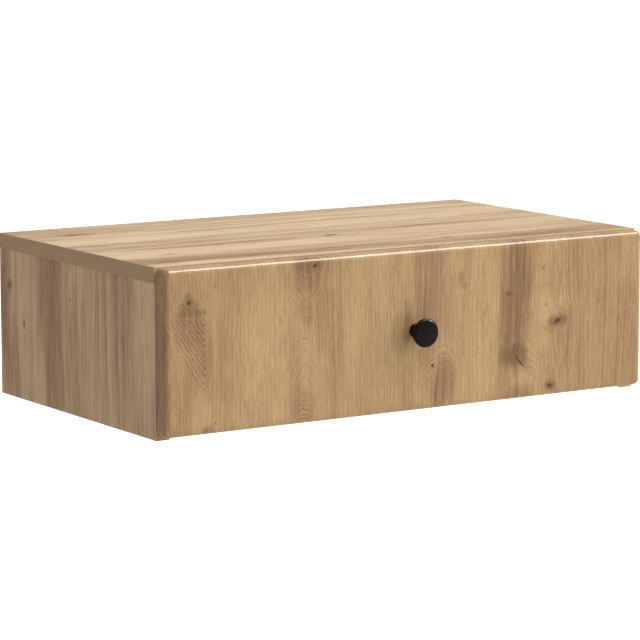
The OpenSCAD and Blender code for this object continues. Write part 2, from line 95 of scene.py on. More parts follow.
class Wire:
    """One value that flows through a node tree, with the arithmetic that a formula needs."""

    def __init__(self, tree: bpy.types.NodeTree, socket: bpy.types.NodeSocket) -> None:
        """Keeps the tree and the socket that the value comes from."""
        self.tree = tree
        self.socket = socket

    def __add__(self, other: Value) -> "Wire":
        """This value plus the other."""
        return formula(self.tree, "ADD", self, other)

    def __sub__(self, other: Value) -> "Wire":
        """This value minus the other."""
        return formula(self.tree, "SUBTRACT", self, other)

    def __rsub__(self, other: float) -> "Wire":
        """The other value minus this one."""
        return formula(self.tree, "SUBTRACT", other, self)

    def __mul__(self, other: Value) -> "Wire":
        """This value times the other."""
        return formula(self.tree, "MULTIPLY", self, other)

    def __truediv__(self, other: Value) -> "Wire":
        """This value divided by the other."""
        return formula(self.tree, "DIVIDE", self, other)

    def __pow__(self, other: float) -> "Wire":
        """This value to the power of the other."""
        return formula(self.tree, "POWER", self, other)

    def __abs__(self) -> "Wire":
        """This value without its sign."""
        return formula(self.tree, "ABSOLUTE", self)

    def root(self) -> "Wire":
        """The square root."""
        return formula(self.tree, "SQRT", self)

    def fade(self) -> "Wire":
        """e to the power of minus this value: 1 at nought, falling towards 0."""
        return formula(self.tree, "EXPONENT", self * -1.0)

    def part(self) -> "Wire":
        """The part after the decimal point, which repeats from 0 to 1."""
        return formula(self.tree, "FRACT", self)

    def most(self, other: Value) -> "Wire":
        """The larger of the two values."""
        return formula(self.tree, "MAXIMUM", self, other)

    def least(self, other: Value) -> "Wire":
        """The smaller of the two values."""
        return formula(self.tree, "MINIMUM", self, other)

    def below(self, other: Value) -> "Wire":
        """1 where this value is less than the other, and 0 elsewhere."""
        return formula(self.tree, "LESS_THAN", self, other)

    def rise(self, low: float, high: float) -> "Wire":
        """Goes smoothly from 0 at low to 1 at high.

        Args:
            low: the value that gives 0.
            high: the value that gives 1.

        Returns:
            The eased value, held at 0 and 1 outside the two.
        """
        node = self.tree.nodes.new("ShaderNodeMapRange")
        node.interpolation_type = "SMOOTHSTEP"
        plug(self, node.inputs["Value"])
        node.inputs["From Min"].default_value = low
        node.inputs["From Max"].default_value = high
        return Wire(self.tree, node.outputs["Result"])


def plug(value: Value, socket: bpy.types.NodeSocket) -> None:
    """Gives a socket its value.

    Args:
        value: a wire, which is linked, or a number or colour, which is set.
        socket: the input that takes it.
    """
    if isinstance(value, Wire):
        value.tree.links.new(value.socket, socket)
    elif isinstance(value, tuple):
        socket.default_value = (*value, 1.0) if socket.type == "RGBA" else value
    else:
        socket.default_value = value


def formula(tree: bpy.types.NodeTree, operation: str, *values: Value) -> Wire:
    """Puts one Math node into a tree.

    Args:
        tree: the node tree.
        operation: the node's operation.
        values: its operands.

    Returns:
        The result.
    """
    node = tree.nodes.new("ShaderNodeMath")
    node.operation = operation
    for socket, value in zip(node.inputs, values):
        plug(value, socket)
    return Wire(tree, node.outputs[0])


def point(tree: bpy.types.NodeTree, x: Value, y: Value, z: Value = 0.0) -> Wire:
    """Joins three values into a point.

    Args:
        tree: the node tree.
        x: its first coordinate.
        y: its second one.
        z: its third one.

    Returns:
        The point.
    """
    node = tree.nodes.new("ShaderNodeCombineXYZ")
    for socket, value in zip(node.inputs, (x, y, z)):
        plug(value, socket)
    return Wire(tree, node.outputs[0])


@dataclass(frozen=True)
class Noise:
    """Soft noise with its own scale each way.

    Attributes:
        scale: how many features one unit of each coordinate holds.
        layer: what is added to the third coordinate, so that two noises differ.
        detail: how many finer layers are added.
        roughness: how strong the finer layers are.
        low: the value of the noise that becomes 0.
        high: the value of the noise that becomes 1. Where it isn't above low, the noise
            stays as it is, round 0.5 and mostly between 0.3 and 0.7.
    """

    scale: tuple[Value, Value, Value]
    layer: float = 0.0
    detail: float = 2.0
    roughness: float = 0.5
    low: float = 0.0
    high: float = 0.0

    def at(self, *place: Wire) -> Wire:
        """Puts the noise into a tree.

        Args:
            place: the three coordinates that it reads.

        Returns:
            The noise there.
        """
        x, y, z = (part if scale == 1.0 else part * scale for part, scale in zip(place, self.scale))
        tree = place[0].tree
        node = tree.nodes.new("ShaderNodeTexNoise")
        plug(point(tree, x, y, z + self.layer if self.layer else z), node.inputs["Vector"])
        for name, value in (("Scale", 1.0), ("Detail", self.detail), ("Roughness", self.roughness)):
            node.inputs[name].default_value = value
        noise = Wire(tree, node.outputs["Fac"])
        return noise.rise(self.low, self.high) if self.high > self.low else noise


def blend(share: Wire, first: Value, second: Value) -> Wire:
    """Goes from the first number to the second as the share goes from 0 to 1."""
    return (1.0 - share) * first + share * second


def tint(share: Wire, first: Value, second: Value) -> Wire:
    """Goes from the first colour to the second.

    Args:
        share: how much of the second shows, from 0 to 1.
        first: the colour at 0.
        second: the colour at 1.

    Returns:
        The mixed colour.
    """
    node = share.tree.nodes.new("ShaderNodeMix")
    node.data_type = "RGBA"
    plug(share, node.inputs["Factor"])
    colour_inputs = (socket for socket in node.inputs if socket.type == "RGBA")
    for socket, colour in zip(colour_inputs, (first, second)):
        plug(colour, socket)
    return Wire(share.tree, next(socket for socket in node.outputs if socket.type == "RGBA"))


def dim(colour: Value, factor: Wire) -> Wire:
    """Multiplies a colour by a number.

    Args:
        colour: the colour.
        factor: the number.

    Returns:
        The darker or brighter colour.
    """
    node = factor.tree.nodes.new("ShaderNodeVectorMath")
    node.operation = "SCALE"
    plug(colour, node.inputs[0])
    plug(factor, node.inputs["Scale"])
    return Wire(factor.tree, node.outputs[0])


class Effect:
    """A shader node group with named inputs and outputs, which several finishes share."""

    def __init__(self, name: str, numbers: Sequence[str], colours: Sequence[str] = ()) -> None:
        """Makes the empty group.

        Args:
            name: the group's name.
            numbers: the inputs that are numbers.
            colours: the inputs that are colours.
        """
        self.tree = bpy.data.node_groups.new(name, "ShaderNodeTree")
        self.names = (*numbers, *colours)
        for kind, names in (("NodeSocketFloat", numbers), ("NodeSocketColor", colours)):
            for each in names:
                self.tree.interface.new_socket(name=each, in_out="INPUT", socket_type=kind)
        self.inputs = self.tree.nodes.new("NodeGroupInput").outputs
        self.outputs = self.tree.nodes.new("NodeGroupOutput").inputs

    def __getitem__(self, name: str) -> Wire:
        """The value that comes in by that name."""
        return Wire(self.tree, self.inputs[name])

    def __iter__(self) -> Iterator[Wire]:
        """All the values that come in, in the order of their names."""
        return (self[name] for name in self.names)

    def give(self, name: str, value: Wire, kind: str = "NodeSocketFloat") -> None:
        """Adds an output of that name and kind, and sends the value to it."""
        self.tree.interface.new_socket(name=name, in_out="OUTPUT", socket_type=kind)
        plug(value, self.outputs[name])


def use(tree: bpy.types.NodeTree, effect: Effect, **values: Value) -> dict[str, Wire]:
    """Places an effect in a tree.

    Args:
        tree: the tree that uses it.
        effect: the node group.
        values: what its inputs get, by their names.

    Returns:
        The effect's outputs, by their names.
    """
    node = tree.nodes.new("ShaderNodeGroup")
    node.node_tree = effect.tree
    for name, value in values.items():
        plug(value, node.inputs[name])
    return {socket.name: Wire(tree, socket) for socket in node.outputs}


@functools.cache
def wander_effect() -> Effect:
    """Lets straight grain lines wander: adds slow and quick noise to the place across the grain.

    Returns:
        The group. It puts out the new place across the grain.
    """
    effect = Effect("grain wander", ("across", "along", "depth"))
    slow_reach = 20.0 * MM
    quick_reach = 3.2 * MM
    slow = Noise((11.0, 3.2, 1.0), detail=1.0).at(*effect) - 0.5
    quick = Noise((85.0, 26.0, 1.0)).at(*effect) - 0.5
    effect.give("across", effect["across"] + slow * slow_reach + quick * quick_reach)
    return effect


@functools.cache
def uneven_effect() -> Effect:
    """Noise round nought that the knots, stains and arches of a board share.

    Band is for long stains, spot for short ones, ragged for the rims of knots, wobble for
    lines, and patchy for where lines fade.

    Returns:
        The group. It puts out those five.
    """
    effect = Effect("uneven edges", ("across", "along", "depth"))
    for name, noise in (
            ("band", Noise((70.0, 14.0, 1.0), detail=4.0, roughness=0.62)),
            ("spot", Noise((210.0, 150.0, 1.0), detail=3.0, roughness=0.65)),
            ("ragged", Noise((420.0, 260.0, 1.0), roughness=0.6)),
            ("wobble", Noise((150.0, 100.0, 1.0))),
            ("patchy", Noise((75.0, 40.0, 1.0), detail=1.0))):
        effect.give(name, noise.at(*effect) - 0.5)
    return effect


@functools.cache
def knot_effect() -> Effect:
    """A knot: an oval with a dark core, a halo round it and the lines that it pushes aside.

    The distance d is 1 on the oval's rim. A place across the grain is pulled towards the
    knot's axis by a share push / (1 + d squared / reach), so lines bulge round the knot as
    water flows round a stone.

    Returns:
        The group. It puts out the push in metres, and the core's and halo's masks.
    """
    effect = Effect("oak knot", ("across", "along", "ragged", *OVAL_LENGTHS, "tilt", "push"))
    across, along, ragged, centre_across, centre_along, width, length, tilt, push = effect
    raggedness = 2.4
    reach = 7.0
    core_edge = (0.25, 1.7)
    halo_fall = 0.11
    du = across - centre_across
    dv = along - centre_along
    cosine = formula(effect.tree, "COSINE", tilt)
    sine = formula(effect.tree, "SINE", tilt)
    square = ((du * cosine + dv * sine) / width) ** 2.0 + ((dv * cosine - du * sine) / length) ** 2.0
    square = square * (ragged * raggedness + 1.0)
    effect.give("push", du * push / (square / reach + 1.0))
    effect.give("core", 1.0 - square.rise(*core_edge))
    effect.give("halo", (square * halo_fall).fade())
    return effect


@functools.cache
def stain_effect() -> Effect:
    """A patch or band of another tone: a soft oval with an uneven edge.

    Each distance from the middle is divided by its half size and raised to a power. Their
    sum is 1 on the edge, and above a power of 2 the oval is a little square.

    Returns:
        The group. It puts out the mask.
    """
    effect = Effect("oak stain", ("across", "along", "uneven", *OVAL_LENGTHS))
    across, along, uneven, centre_across, centre_along, width, length = effect
    power = 2.4
    unevenness = 2.0
    soft_edge = (-0.05, 1.5)
    reach = abs((across - centre_across) / width) ** power + abs((along - centre_along) / length) ** power
    effect.give("mask", 1.0 - (reach + uneven * unevenness).rise(*soft_edge))
    return effect


@functools.cache
def arch_effect() -> Effect:
    """Nested arches or Vs of growth lines, which open along the grain from a tip.

    The level is the distance from the tip along the grain, less the root of (distance from
    the axis / spread) squared plus the tip's roundness squared. Each line spacing of that
    level holds one line, so each line is a rounded V inside the one before. Lean makes the
    legs on the far side steeper and those on the near side flatter. The lines fade towards
    the arch's height and half width, and to half their strength in patches.

    Returns:
        The group. It puts out the level and the mask.
    """
    names = ("across", "along", "wobble", "patchy", *ARCH_LENGTHS, *ARCH_SHAPE)
    effect = Effect("oak arch", names)
    across, along, wobble, patchy, tip_across, tip_along, *rest = effect
    spacing, roundness, height, width, way, spread, lean = rest
    wobble_reach = 10.0 * MM
    tip_edge = (-0.6, -0.2)
    outer_edge = (0.45, 1.0)
    patch_edge = (-0.2, 0.04)
    inwards = (along - tip_along) * way
    sideways = across - tip_across
    sideways = sideways + abs(sideways) * lean
    root = ((sideways / spread) ** 2.0 + roundness ** 2.0).root()
    level = (inwards - root + roundness + wobble * wobble_reach) / spacing
    mask = level.rise(*tip_edge) * (1.0 - (inwards / height).rise(*outer_edge))
    mask = mask * (1.0 - abs(sideways / width).rise(*outer_edge))
    effect.give("level", level)
    effect.give("mask", mask * (patchy.rise(*patch_edge) * 0.5 + 0.5))
    return effect


@functools.cache
def line_effect() -> Effect:
    """One growth line in each whole step of a level: it darkens, ends, and leaves a pale edge.

    Fineness is 1 where a line fills its step, and more where it is finer than that.

    Returns:
        The group. It puts out how dark and how pale the place is.
    """
    effect = Effect("growth line", ("level", "fineness"))
    level, fineness = effect
    ending = (0.0, 0.10)
    darkening = (0.14, 0.50)
    pale_edge = (0.0, 0.28)
    phase = level.part()
    ahead = (1.0 - phase) * fineness
    effect.give("dark", ahead.rise(*ending) * (1.0 - ahead.rise(*darkening)))
    effect.give("pale", 1.0 - (phase * fineness).rise(*pale_edge))
    return effect


@functools.cache
def oak_effect() -> Effect:
    """The colour of oak: a shade from its lines, streaks, fibres and pores, then its stains.

    The shade runs from the light tone to the dark one, and in reddish places from the
    light red to the dark red. Pale places have half the shade that streaks give. The wood
    is reddish in red stains, round knots and, faintly, in a blush of its own.

    Returns:
        The group. It puts out the colour, the height and the dullness.
    """
    effect = Effect(
        "oak colour",
        ("across", "along", "depth", "line", "edge", "breadth", "drift", "broad", "narrow", "fibre", "red",
         "pale", "smudge", "halo", "core"),
        ("light", "dark", "light red", "dark red", "brown", "heart"),
    )
    mean_shade = 0.42
    halo_red = 0.8
    blush_red = 0.2
    place = [effect[name] for name in ("across", "along", "depth")]
    broad_scale = (effect["breadth"], effect["drift"], 1.0)
    broad = Noise(broad_scale, layer=3.0, detail=3.0, roughness=0.6, low=0.36, high=0.64).at(*place)
    narrow = Noise((190.0, 6.0, 1.0), layer=7.0, roughness=0.6, low=0.36, high=0.64).at(*place)
    blush = Noise((24.0, 7.0, 1.0), layer=29.0, low=0.46, high=0.70).at(*place)
    fibre = Noise((980.0, 48.0, 1.0), layer=11.0, detail=1.0, roughness=0.6, low=0.34, high=0.66).at(*place)
    pore = Noise((1000.0, 90.0, 1.0), layer=17.0, detail=1.0, low=0.58, high=0.70).at(*place)
    shade = (broad - 0.5) * effect["broad"] + (narrow - 0.5) * effect["narrow"] + mean_shade
    shade = shade * (1.0 - effect["pale"] * 0.5)
    shade = shade + (fibre - 0.5) * effect["fibre"] + pore * effect["fibre"] * 0.5
    shade = (shade + effect["line"] - effect["edge"]).most(0.0).least(1.0)
    plain = tint(shade, effect["light"], effect["dark"])
    ruddy = tint(shade, effect["light red"], effect["dark red"])
    red = (effect["red"] * (narrow * 0.5 + 0.5)).most(effect["halo"] * halo_red).most(blush * blush_red)
    # Brown shows where smudges are, and where a figure paints shade, as on the front's left side and rim.
    base = tint(effect["smudge"] * (fibre * 0.4 + 0.7), tint(red, plain, ruddy), effect["brown"])
    effect.give("colour", tint(effect["core"], base, effect["heart"]), "NodeSocketColor")
    # Fibres, pores, growth lines and cores lie lower than the face, and but for the lines they are duller.
    effect.give("height", fibre * -0.5 - pore - effect["line"] * 3.0 - effect["core"] * 1.5)
    effect.give("dullness", fibre * 0.10 + pore * 0.08 + effect["core"] * 0.2 - 0.05)
    return effect


@functools.cache
def chipboard_effect() -> Effect:
    """The raw edge of a particle board: pressed chips of many tones, with dark gaps.

    Returns:
        The group. It puts out the colour and the height.
    """
    effect = Effect("raw chipboard", ("x", "y", "z"))
    chips_per_metre = (420.0, 420.0, 900.0)
    pale_chip = (0.58, 0.43, 0.27)
    dark_chip = (0.36, 0.25, 0.15)
    gap_edge = (0.55, 0.95)
    gap_darkness = 0.55
    chip_step = 0.6
    node = effect.tree.nodes.new("ShaderNodeTexVoronoi")
    place = point(effect.tree, *(part * scale for part, scale in zip(effect, chips_per_metre)))
    plug(place, node.inputs["Vector"])
    for name in ("Scale", "Randomness"):
        node.inputs[name].default_value = 1.0
    split = effect.tree.nodes.new("ShaderNodeSeparateColor")
    plug(Wire(effect.tree, node.outputs["Color"]), split.inputs[0])
    pick = Wire(effect.tree, split.outputs[0])
    gap = Wire(effect.tree, node.outputs["Distance"]).rise(*gap_edge)
    effect.give("colour", dim(tint(pick, pale_chip, dark_chip), 1.0 - gap * gap_darkness), "NodeSocketColor")
    effect.give("height", pick * chip_step - gap)
    return effect


@functools.cache
def brushed_effect() -> Effect:
    """Fine marks drawn along one way, over slow blotches, as on rolled or plated metal.

    Returns:
        The group. It puts out marks and blotches, from 0 to 1.
    """
    effect = Effect("drawn marks", ("along", "sideways", "upwards"))
    marks = Noise((25.0, 2600.0, 2600.0), detail=3.0, roughness=0.6, low=0.30, high=0.70)
    blotch = Noise((60.0, 120.0, 120.0), detail=3.0, roughness=0.6, low=0.32, high=0.68)
    effect.give("marks", marks.at(*effect))
    effect.give("blotch", blotch.at(*effect))
    return effect


@functools.cache
def speckle_effect() -> Effect:
    """The fine even texture of paint, moulding or a melamine face, with features of a given size.

    Returns:
        The group. It puts out fine grains and slow clouds, from 0 to 1.
    """
    effect = Effect("fine texture", ("x", "y", "z", "size"))
    place = [effect[name] / effect["size"] for name in ("x", "y", "z")]
    effect.give("fine", Noise((1.0, 1.0, 1.0), roughness=0.6, low=0.30, high=0.70).at(*place))
    effect.give("slow", Noise((0.06, 0.06, 0.06), low=0.35, high=0.65).at(*place))
    return effect


class Coating:
    """A material with one Principled shader, and the wires that its patterns read."""

    def __init__(self, name: str, roughness: float = 0.5, metallic: float = 0.0,
                 colour: Colour = (0.8, 0.8, 0.8), gloss: float = 0.5) -> None:
        """Makes the material.

        Args:
            name: the material's name.
            roughness: the shader's plain roughness.
            metallic: 1 for bare metal.
            colour: the shader's plain colour.
            gloss: the shader's specular level, 0.5 for plain plastic.
        """
        self.material = bpy.data.materials.new(name)
        self.material.use_nodes = True
        self.tree = self.material.node_tree
        self.shader = self.tree.nodes["Principled BSDF"]
        self.set("Roughness", roughness)
        self.set("Metallic", metallic)
        self.set("Base Color", colour)
        self.set("Specular IOR Level", gloss)

    def set(self, name: str, value: Value) -> None:
        """Gives one of the shader's sockets its value."""
        plug(value, self.shader.inputs[name])

    def parts(self, kind: str, output: str) -> tuple[Wire, Wire, Wire]:
        """Reads a vector, number by number.

        Args:
            kind: the node that puts it out.
            output: the node's output.

        Returns:
            The vector's three numbers.
        """
        source = self.tree.nodes.new(kind)
        split = self.tree.nodes.new("ShaderNodeSeparateXYZ")
        self.tree.links.new(source.outputs[output], split.inputs[0])
        return tuple(Wire(self.tree, socket) for socket in split.outputs)

    def place(self) -> tuple[Wire, Wire, Wire]:
        """Where the point is in the frame, in metres."""
        return self.parts("ShaderNodeTexCoord", "Object")

    def sheet(self) -> tuple[Wire, Wire, Wire]:
        """Where the point is on the piece's own unrolled sheet, in metres."""
        return self.parts("ShaderNodeTexCoord", "UV")

    def facing(self) -> tuple[Wire, Wire, Wire]:
        """The way that the surface faces."""
        return self.parts("ShaderNodeNewGeometry", "Normal")

    def relief(self, height: Wire, depth: float) -> None:
        """Gives the surface a fine relief.

        Args:
            height: the pattern, in units of the depth.
            depth: how deep one unit of the pattern is, in metres.
        """
        node = self.tree.nodes.new("ShaderNodeBump")
        node.inputs["Strength"].default_value = 1.0
        node.inputs["Distance"].default_value = depth
        plug(height, node.inputs["Height"])
        self.set("Normal", Wire(self.tree, node.outputs["Normal"]))


@dataclass(frozen=True)
class Knot:
    """A knot, in millimetres across and along the grain.

    Push is the share of their distance by which the nearest lines are moved aside, halo
    and strength how strongly its red halo and its dark core show, and tilt its turn in
    radians.
    """

    centre_across: float
    centre_along: float
    half_width: float
    half_length: float
    push: float
    halo: float
    strength: float = 1.0
    tilt: float = 0.0


@dataclass(frozen=True)
class Stain:
    """A patch or band of another tone, in millimetres across and along the grain.

    Strength is how strongly it shows.
    """

    centre_across: float
    centre_along: float
    half_width: float
    half_length: float
    strength: float = 1.0


@dataclass(frozen=True)
class Arch:
    """Nested arches or Vs of growth lines, in millimetres.

    They open from the tip towards higher places along the grain, or towards lower ones
    where way is -1. Spread is how far a leg goes sideways for each millimetre along, and
    spacing the distance between lines along the axis.
    """

    tip_across: float
    tip_along: float
    way: float
    spread: float
    spacing: float
    roundness: float
    height: float
    half_width: float
    strength: float = 1.0
    lean: float = 0.0


def in_metres(mark: Union[Knot, Stain, Arch], names: Sequence[str]) -> dict[str, float]:
    """The named lengths of a mark, in metres."""
    return {name: getattr(mark, name) * MM for name in names}


@dataclass(frozen=True)
class Figure:
    """What one board's face shows beside its even grain: knots, arches, and red, pale and brown stains, some
    of which are painted shade.
    """

    knots: tuple[Knot, ...] = ()
    reds: tuple[Stain, ...] = ()
    pales: tuple[Stain, ...] = ()
    smudges: tuple[Stain, ...] = ()
    arches: tuple[Arch, ...] = ()


@dataclass(frozen=True)
class Tone:
    """The colours of one oak decor, and how strongly its lines, streaks and fibres show.

    Attributes:
        light: the palest plain wood.
        dark: the darkest plain wood.
        light_red: the palest reddish wood.
        dark_red: the darkest reddish wood.
        brown: the colour of smudges and of painted shade.
        heart: the colour of a knot's core.
        lines_per_metre: how many even growth lines a metre holds across the grain.
        swing: how many line steps the lines bend to and fro along the board.
        line: how dark the even lines are.
        figure_line: how dark the lines of arches are.
        breadth: how many broad streaks a metre holds across the grain.
        drift: how often broad streaks change in a metre along the grain.
        broad: how strongly broad streaks show.
        narrow: how strongly narrow streaks show.
        fibre: how strongly fibres and pores show.
        length: how many times longer than usual streaks and fibres are.
    """

    light: Colour
    dark: Colour
    light_red: Colour
    dark_red: Colour
    brown: Colour
    heart: Colour = (0.125, 0.050, 0.018)
    lines_per_metre: float = 215.0
    swing: float = 9.0
    line: float = 0.06
    figure_line: float = 0.30
    breadth: float = 32.0
    drift: float = 7.0
    broad: float = 0.28
    narrow: float = 0.12
    fibre: float = 0.40
    length: float = 1.0

    def colours(self) -> dict[str, Colour]:
        """The colours, by the names of the oak effect's inputs."""
        names = ("light", "dark", "light_red", "dark_red", "brown", "heart")
        return {name.replace("_", " "): getattr(self, name) for name in names}


FOIL = Tone(
    light=(0.745, 0.500, 0.234), dark=(0.310, 0.158, 0.072), light_red=(0.435, 0.238, 0.124),
    dark_red=(0.210, 0.098, 0.050), brown=(0.215, 0.108, 0.042), line=0.13, broad=0.20, narrow=0.10,
    fibre=0.29,
)
TOP_LAMINATE = Tone(
    light=(0.850, 0.650, 0.412), dark=(0.345, 0.178, 0.086), light_red=(0.610, 0.382, 0.215),
    dark_red=(0.285, 0.146, 0.077), brown=(0.30, 0.17, 0.10), lines_per_metre=90.0, line=0.17,
    breadth=20.0, drift=2.6, broad=0.70, narrow=0.16, fibre=0.28, length=2.4,
)
SIDE_LAMINATE = Tone(
    light=(0.800, 0.585, 0.355), dark=(0.360, 0.213, 0.114), light_red=(0.610, 0.378, 0.230),
    dark_red=(0.310, 0.160, 0.094), brown=(0.27, 0.16, 0.095), line=0.09, breadth=22.0, drift=4.0,
    broad=0.60, narrow=0.14, fibre=0.34, length=2.0,
)

# The marks that the photograph shows on each face. Their places are in millimetres from the frame's
# origin, and those of the front lie on its unrolled sheet, which goes on round its sides.
FRONT_FIGURE = Figure(
    knots=(
        Knot(-270, 20, 1.9, 2.2, 0.70, 0.5),
        Knot(-122, 47, 3.0, 1.8, 0.60, 0.5, tilt=0.5),
        Knot(24, -68, 1.7, 1.6, 0.70, 0.6),
        Knot(139, -73, 1.1, 10.0, 0.30, 0.3, tilt=0.75),
        Knot(184, -34, 4.2, 2.4, 0.80, 0.8, tilt=0.6),
        Knot(174, -103, 2.5, 2.0, 0.60, 0.9),
        Knot(166, 25, 1.2, 1.3, 0.4, 0.5, 0.4),
        Knot(230, 27, 1.5, 0.7, 0.4, 0.3, 0.5),
        Knot(-12, 1, 1.1, 1.2, 0.3, 0.3, 0.5),
        Knot(88, -18, 0.7, 2.4, 0.3, 0.2, 0.6),
        Knot(-238, 35, 1.0, 1.0, 0.4, 0.3, 0.4),
        Knot(-241, -103, 1.0, 1.0, 0.4, 0.4, 0.6),
        Knot(-305, 34, 1.2, 1.4, 0.3, 0.4, 0.6),
        Knot(-309, 12, 1.3, 1.8, 0.3, 0.4, 0.6),
    ),
    reds=(
        Stain(-270, -6, 23, 24, 0.75),
        Stain(-256, -36, 14, 30, 0.50),
        Stain(-131, 40, 19, 26, 0.80),
        Stain(-134, 2, 8, 22, 0.75),
        Stain(-137, -96, 15, 16, 0.50),
        Stain(-95, -10, 10, 90, 0.35),
        Stain(16, 10, 18, 80, 0.75),
        Stain(14, 30, 9, 22, 0.60),
        Stain(37, -88, 15, 32, 1.0),
        Stain(-4, -92, 12, 40, 0.40),
        Stain(131, 0, 22, 90, 1.0),
        Stain(142, 30, 6, 60, 0.90),
        Stain(133, -69, 23, 20, 0.7),
        Stain(139, -112, 18, 16, 1.0),
        Stain(-248, -112, 9, 8, 0.9),
        Stain(252, -30, 60, 200, 0.25),
        # Painted shade, partly the foil's own darker colour: this red stain darkens the front's left side and
        # round rim, which face away from the key lamp.
        Stain(-325, -30, 34, 200, 0.6),
    ),
    pales=(
        Stain(-182, -30, 30, 130),
        Stain(-257, -96, 15, 24, 0.8),
        Stain(-60, -30, 44, 130, 0.5),
        Stain(86, -40, 22, 120, 0.8),
        Stain(172, -20, 9, 20, 0.7),
    ),
    smudges=(
        Stain(-270, 24, 4, 8, 0.60),
        Stain(-269, 16, 9, 7, 0.50),
        Stain(-265, 10, 17, 4, 0.50),
        Stain(-130, 49, 19, 9, 0.45),
        Stain(-122, 46, 7, 6, 0.35),
        Stain(-8, -22, 5, 24, 0.35),
        Stain(58, 22, 5, 7, 0.35),
        Stain(64, 12, 6, 4, 0.40),
        Stain(123, 0, 7, 3, 1.0),
        Stain(132, -66, 20, 14, 0.85),
        Stain(132, -10, 16, 70, 0.42),
        Stain(184, -34, 9, 6, 0.55),
        Stain(172, -103, 6, 5, 0.60),
        Stain(246, -30, 2, 140, 0.30),
        Stain(266, -30, 2, 140, 0.25),
        Stain(196, -40, 2, 120, 0.35),
        # Painted shade, partly the foil's own darker colour: this brown stain darkens the front's left side
        # and round rim, which face away from the key lamp.
        Stain(-325, -30, 34, 200, 0.60),
    ),
    arches=(
        Arch(-253, -67, 1.0, 0.46, 7.2, 2.0, 104, 56, 1.5, 0.30),
        Arch(-132, -4, 1.0, 0.62, 10.0, 12.0, 56, 32, 0.8),
        Arch(-137, -26, -1.0, 0.50, 14.0, 10.0, 80, 40, 0.8),
        Arch(-138, -77, -1.0, 0.42, 4.5, 20.0, 60, 22, 1.4),
        Arch(57, -18, 1.0, 0.40, 10.0, 2.0, 70, 15, 0.7),
        Arch(36, -50, -1.0, 0.80, 8.0, 12.0, 50, 30, 0.6),
        Arch(170, 6, -1.0, 0.36, 22.0, 6.0, 64, 30, 1.3),
        Arch(166, 30, -1.0, 0.30, 8.0, 3.0, 26, 7, 0.8),
        Arch(150, -54, -1.0, 0.50, 9.0, 10.0, 46, 16, 0.7),
    ),
)
TOP_FIGURE = Figure(
    knots=(
        Knot(-62, -243, 2.2, 7.0, 0.6, 0.9),
        Knot(-256, -235, 2.0, 5.0, 0.6, 0.6),
        Knot(-207, -12, 3.6, 7.0, 0.5, 0.8),
        Knot(-289, 84, 1.5, 3.5, 0.5, 0.5),
    ),
    reds=(
        Stain(-208, -150, 13, 130, 1.0),
        Stain(-190, 130, 10, 170, 0.85),
        Stain(-57, 255, 9, 60, 0.9),
        Stain(-92, 60, 9, 220, 0.6),
        Stain(-315, 60, 8, 240, 0.6),
    ),
    pales=(
        Stain(-322, -120, 11, 200, 0.9),
        Stain(-150, 0, 18, 280, 0.6),
        Stain(-262, 0, 24, 280, 0.6),
        Stain(-110, -230, 45, 110, 0.8),
        Stain(-14, 0, 16, 300, 0.9),
    ),
    smudges=(
        Stain(-206, -140, 9, 110, 0.45),
        Stain(-62, -235, 7, 26, 0.5),
    ),
)
SIDE_FIGURE = Figure(
    knots=(
        Knot(-21, 2, 1.4, 2.4, 0.6, 0.8),
        Knot(-154, 1, 0.9, 1.4, 0.4, 0.2),
        Knot(-54, -36, 0.9, 1.8, 0.3, 0.2),
    ),
    reds=(
        Stain(-13, -30, 18, 110, 1.0),
        Stain(-122, -30, 16, 110, 0.60),
        Stain(-205, -30, 45, 130, 0.55),
        Stain(-262, -30, 26, 110, 0.75),
    ),
    pales=(
        Stain(-54, -30, 16, 110, 0.8),
        Stain(-306, -30, 24, 110, 1.0),
    ),
    smudges=(
        Stain(-8, -10, 8, 90, 0.6),
        Stain(-22, 2, 5, 8, 0.6),
        Stain(-54, -36, 3, 6, 0.5),
    ),
    arches=(Arch(-80, -40, 1.0, 0.22, 16.0, 3.0, 100, 24),),
)


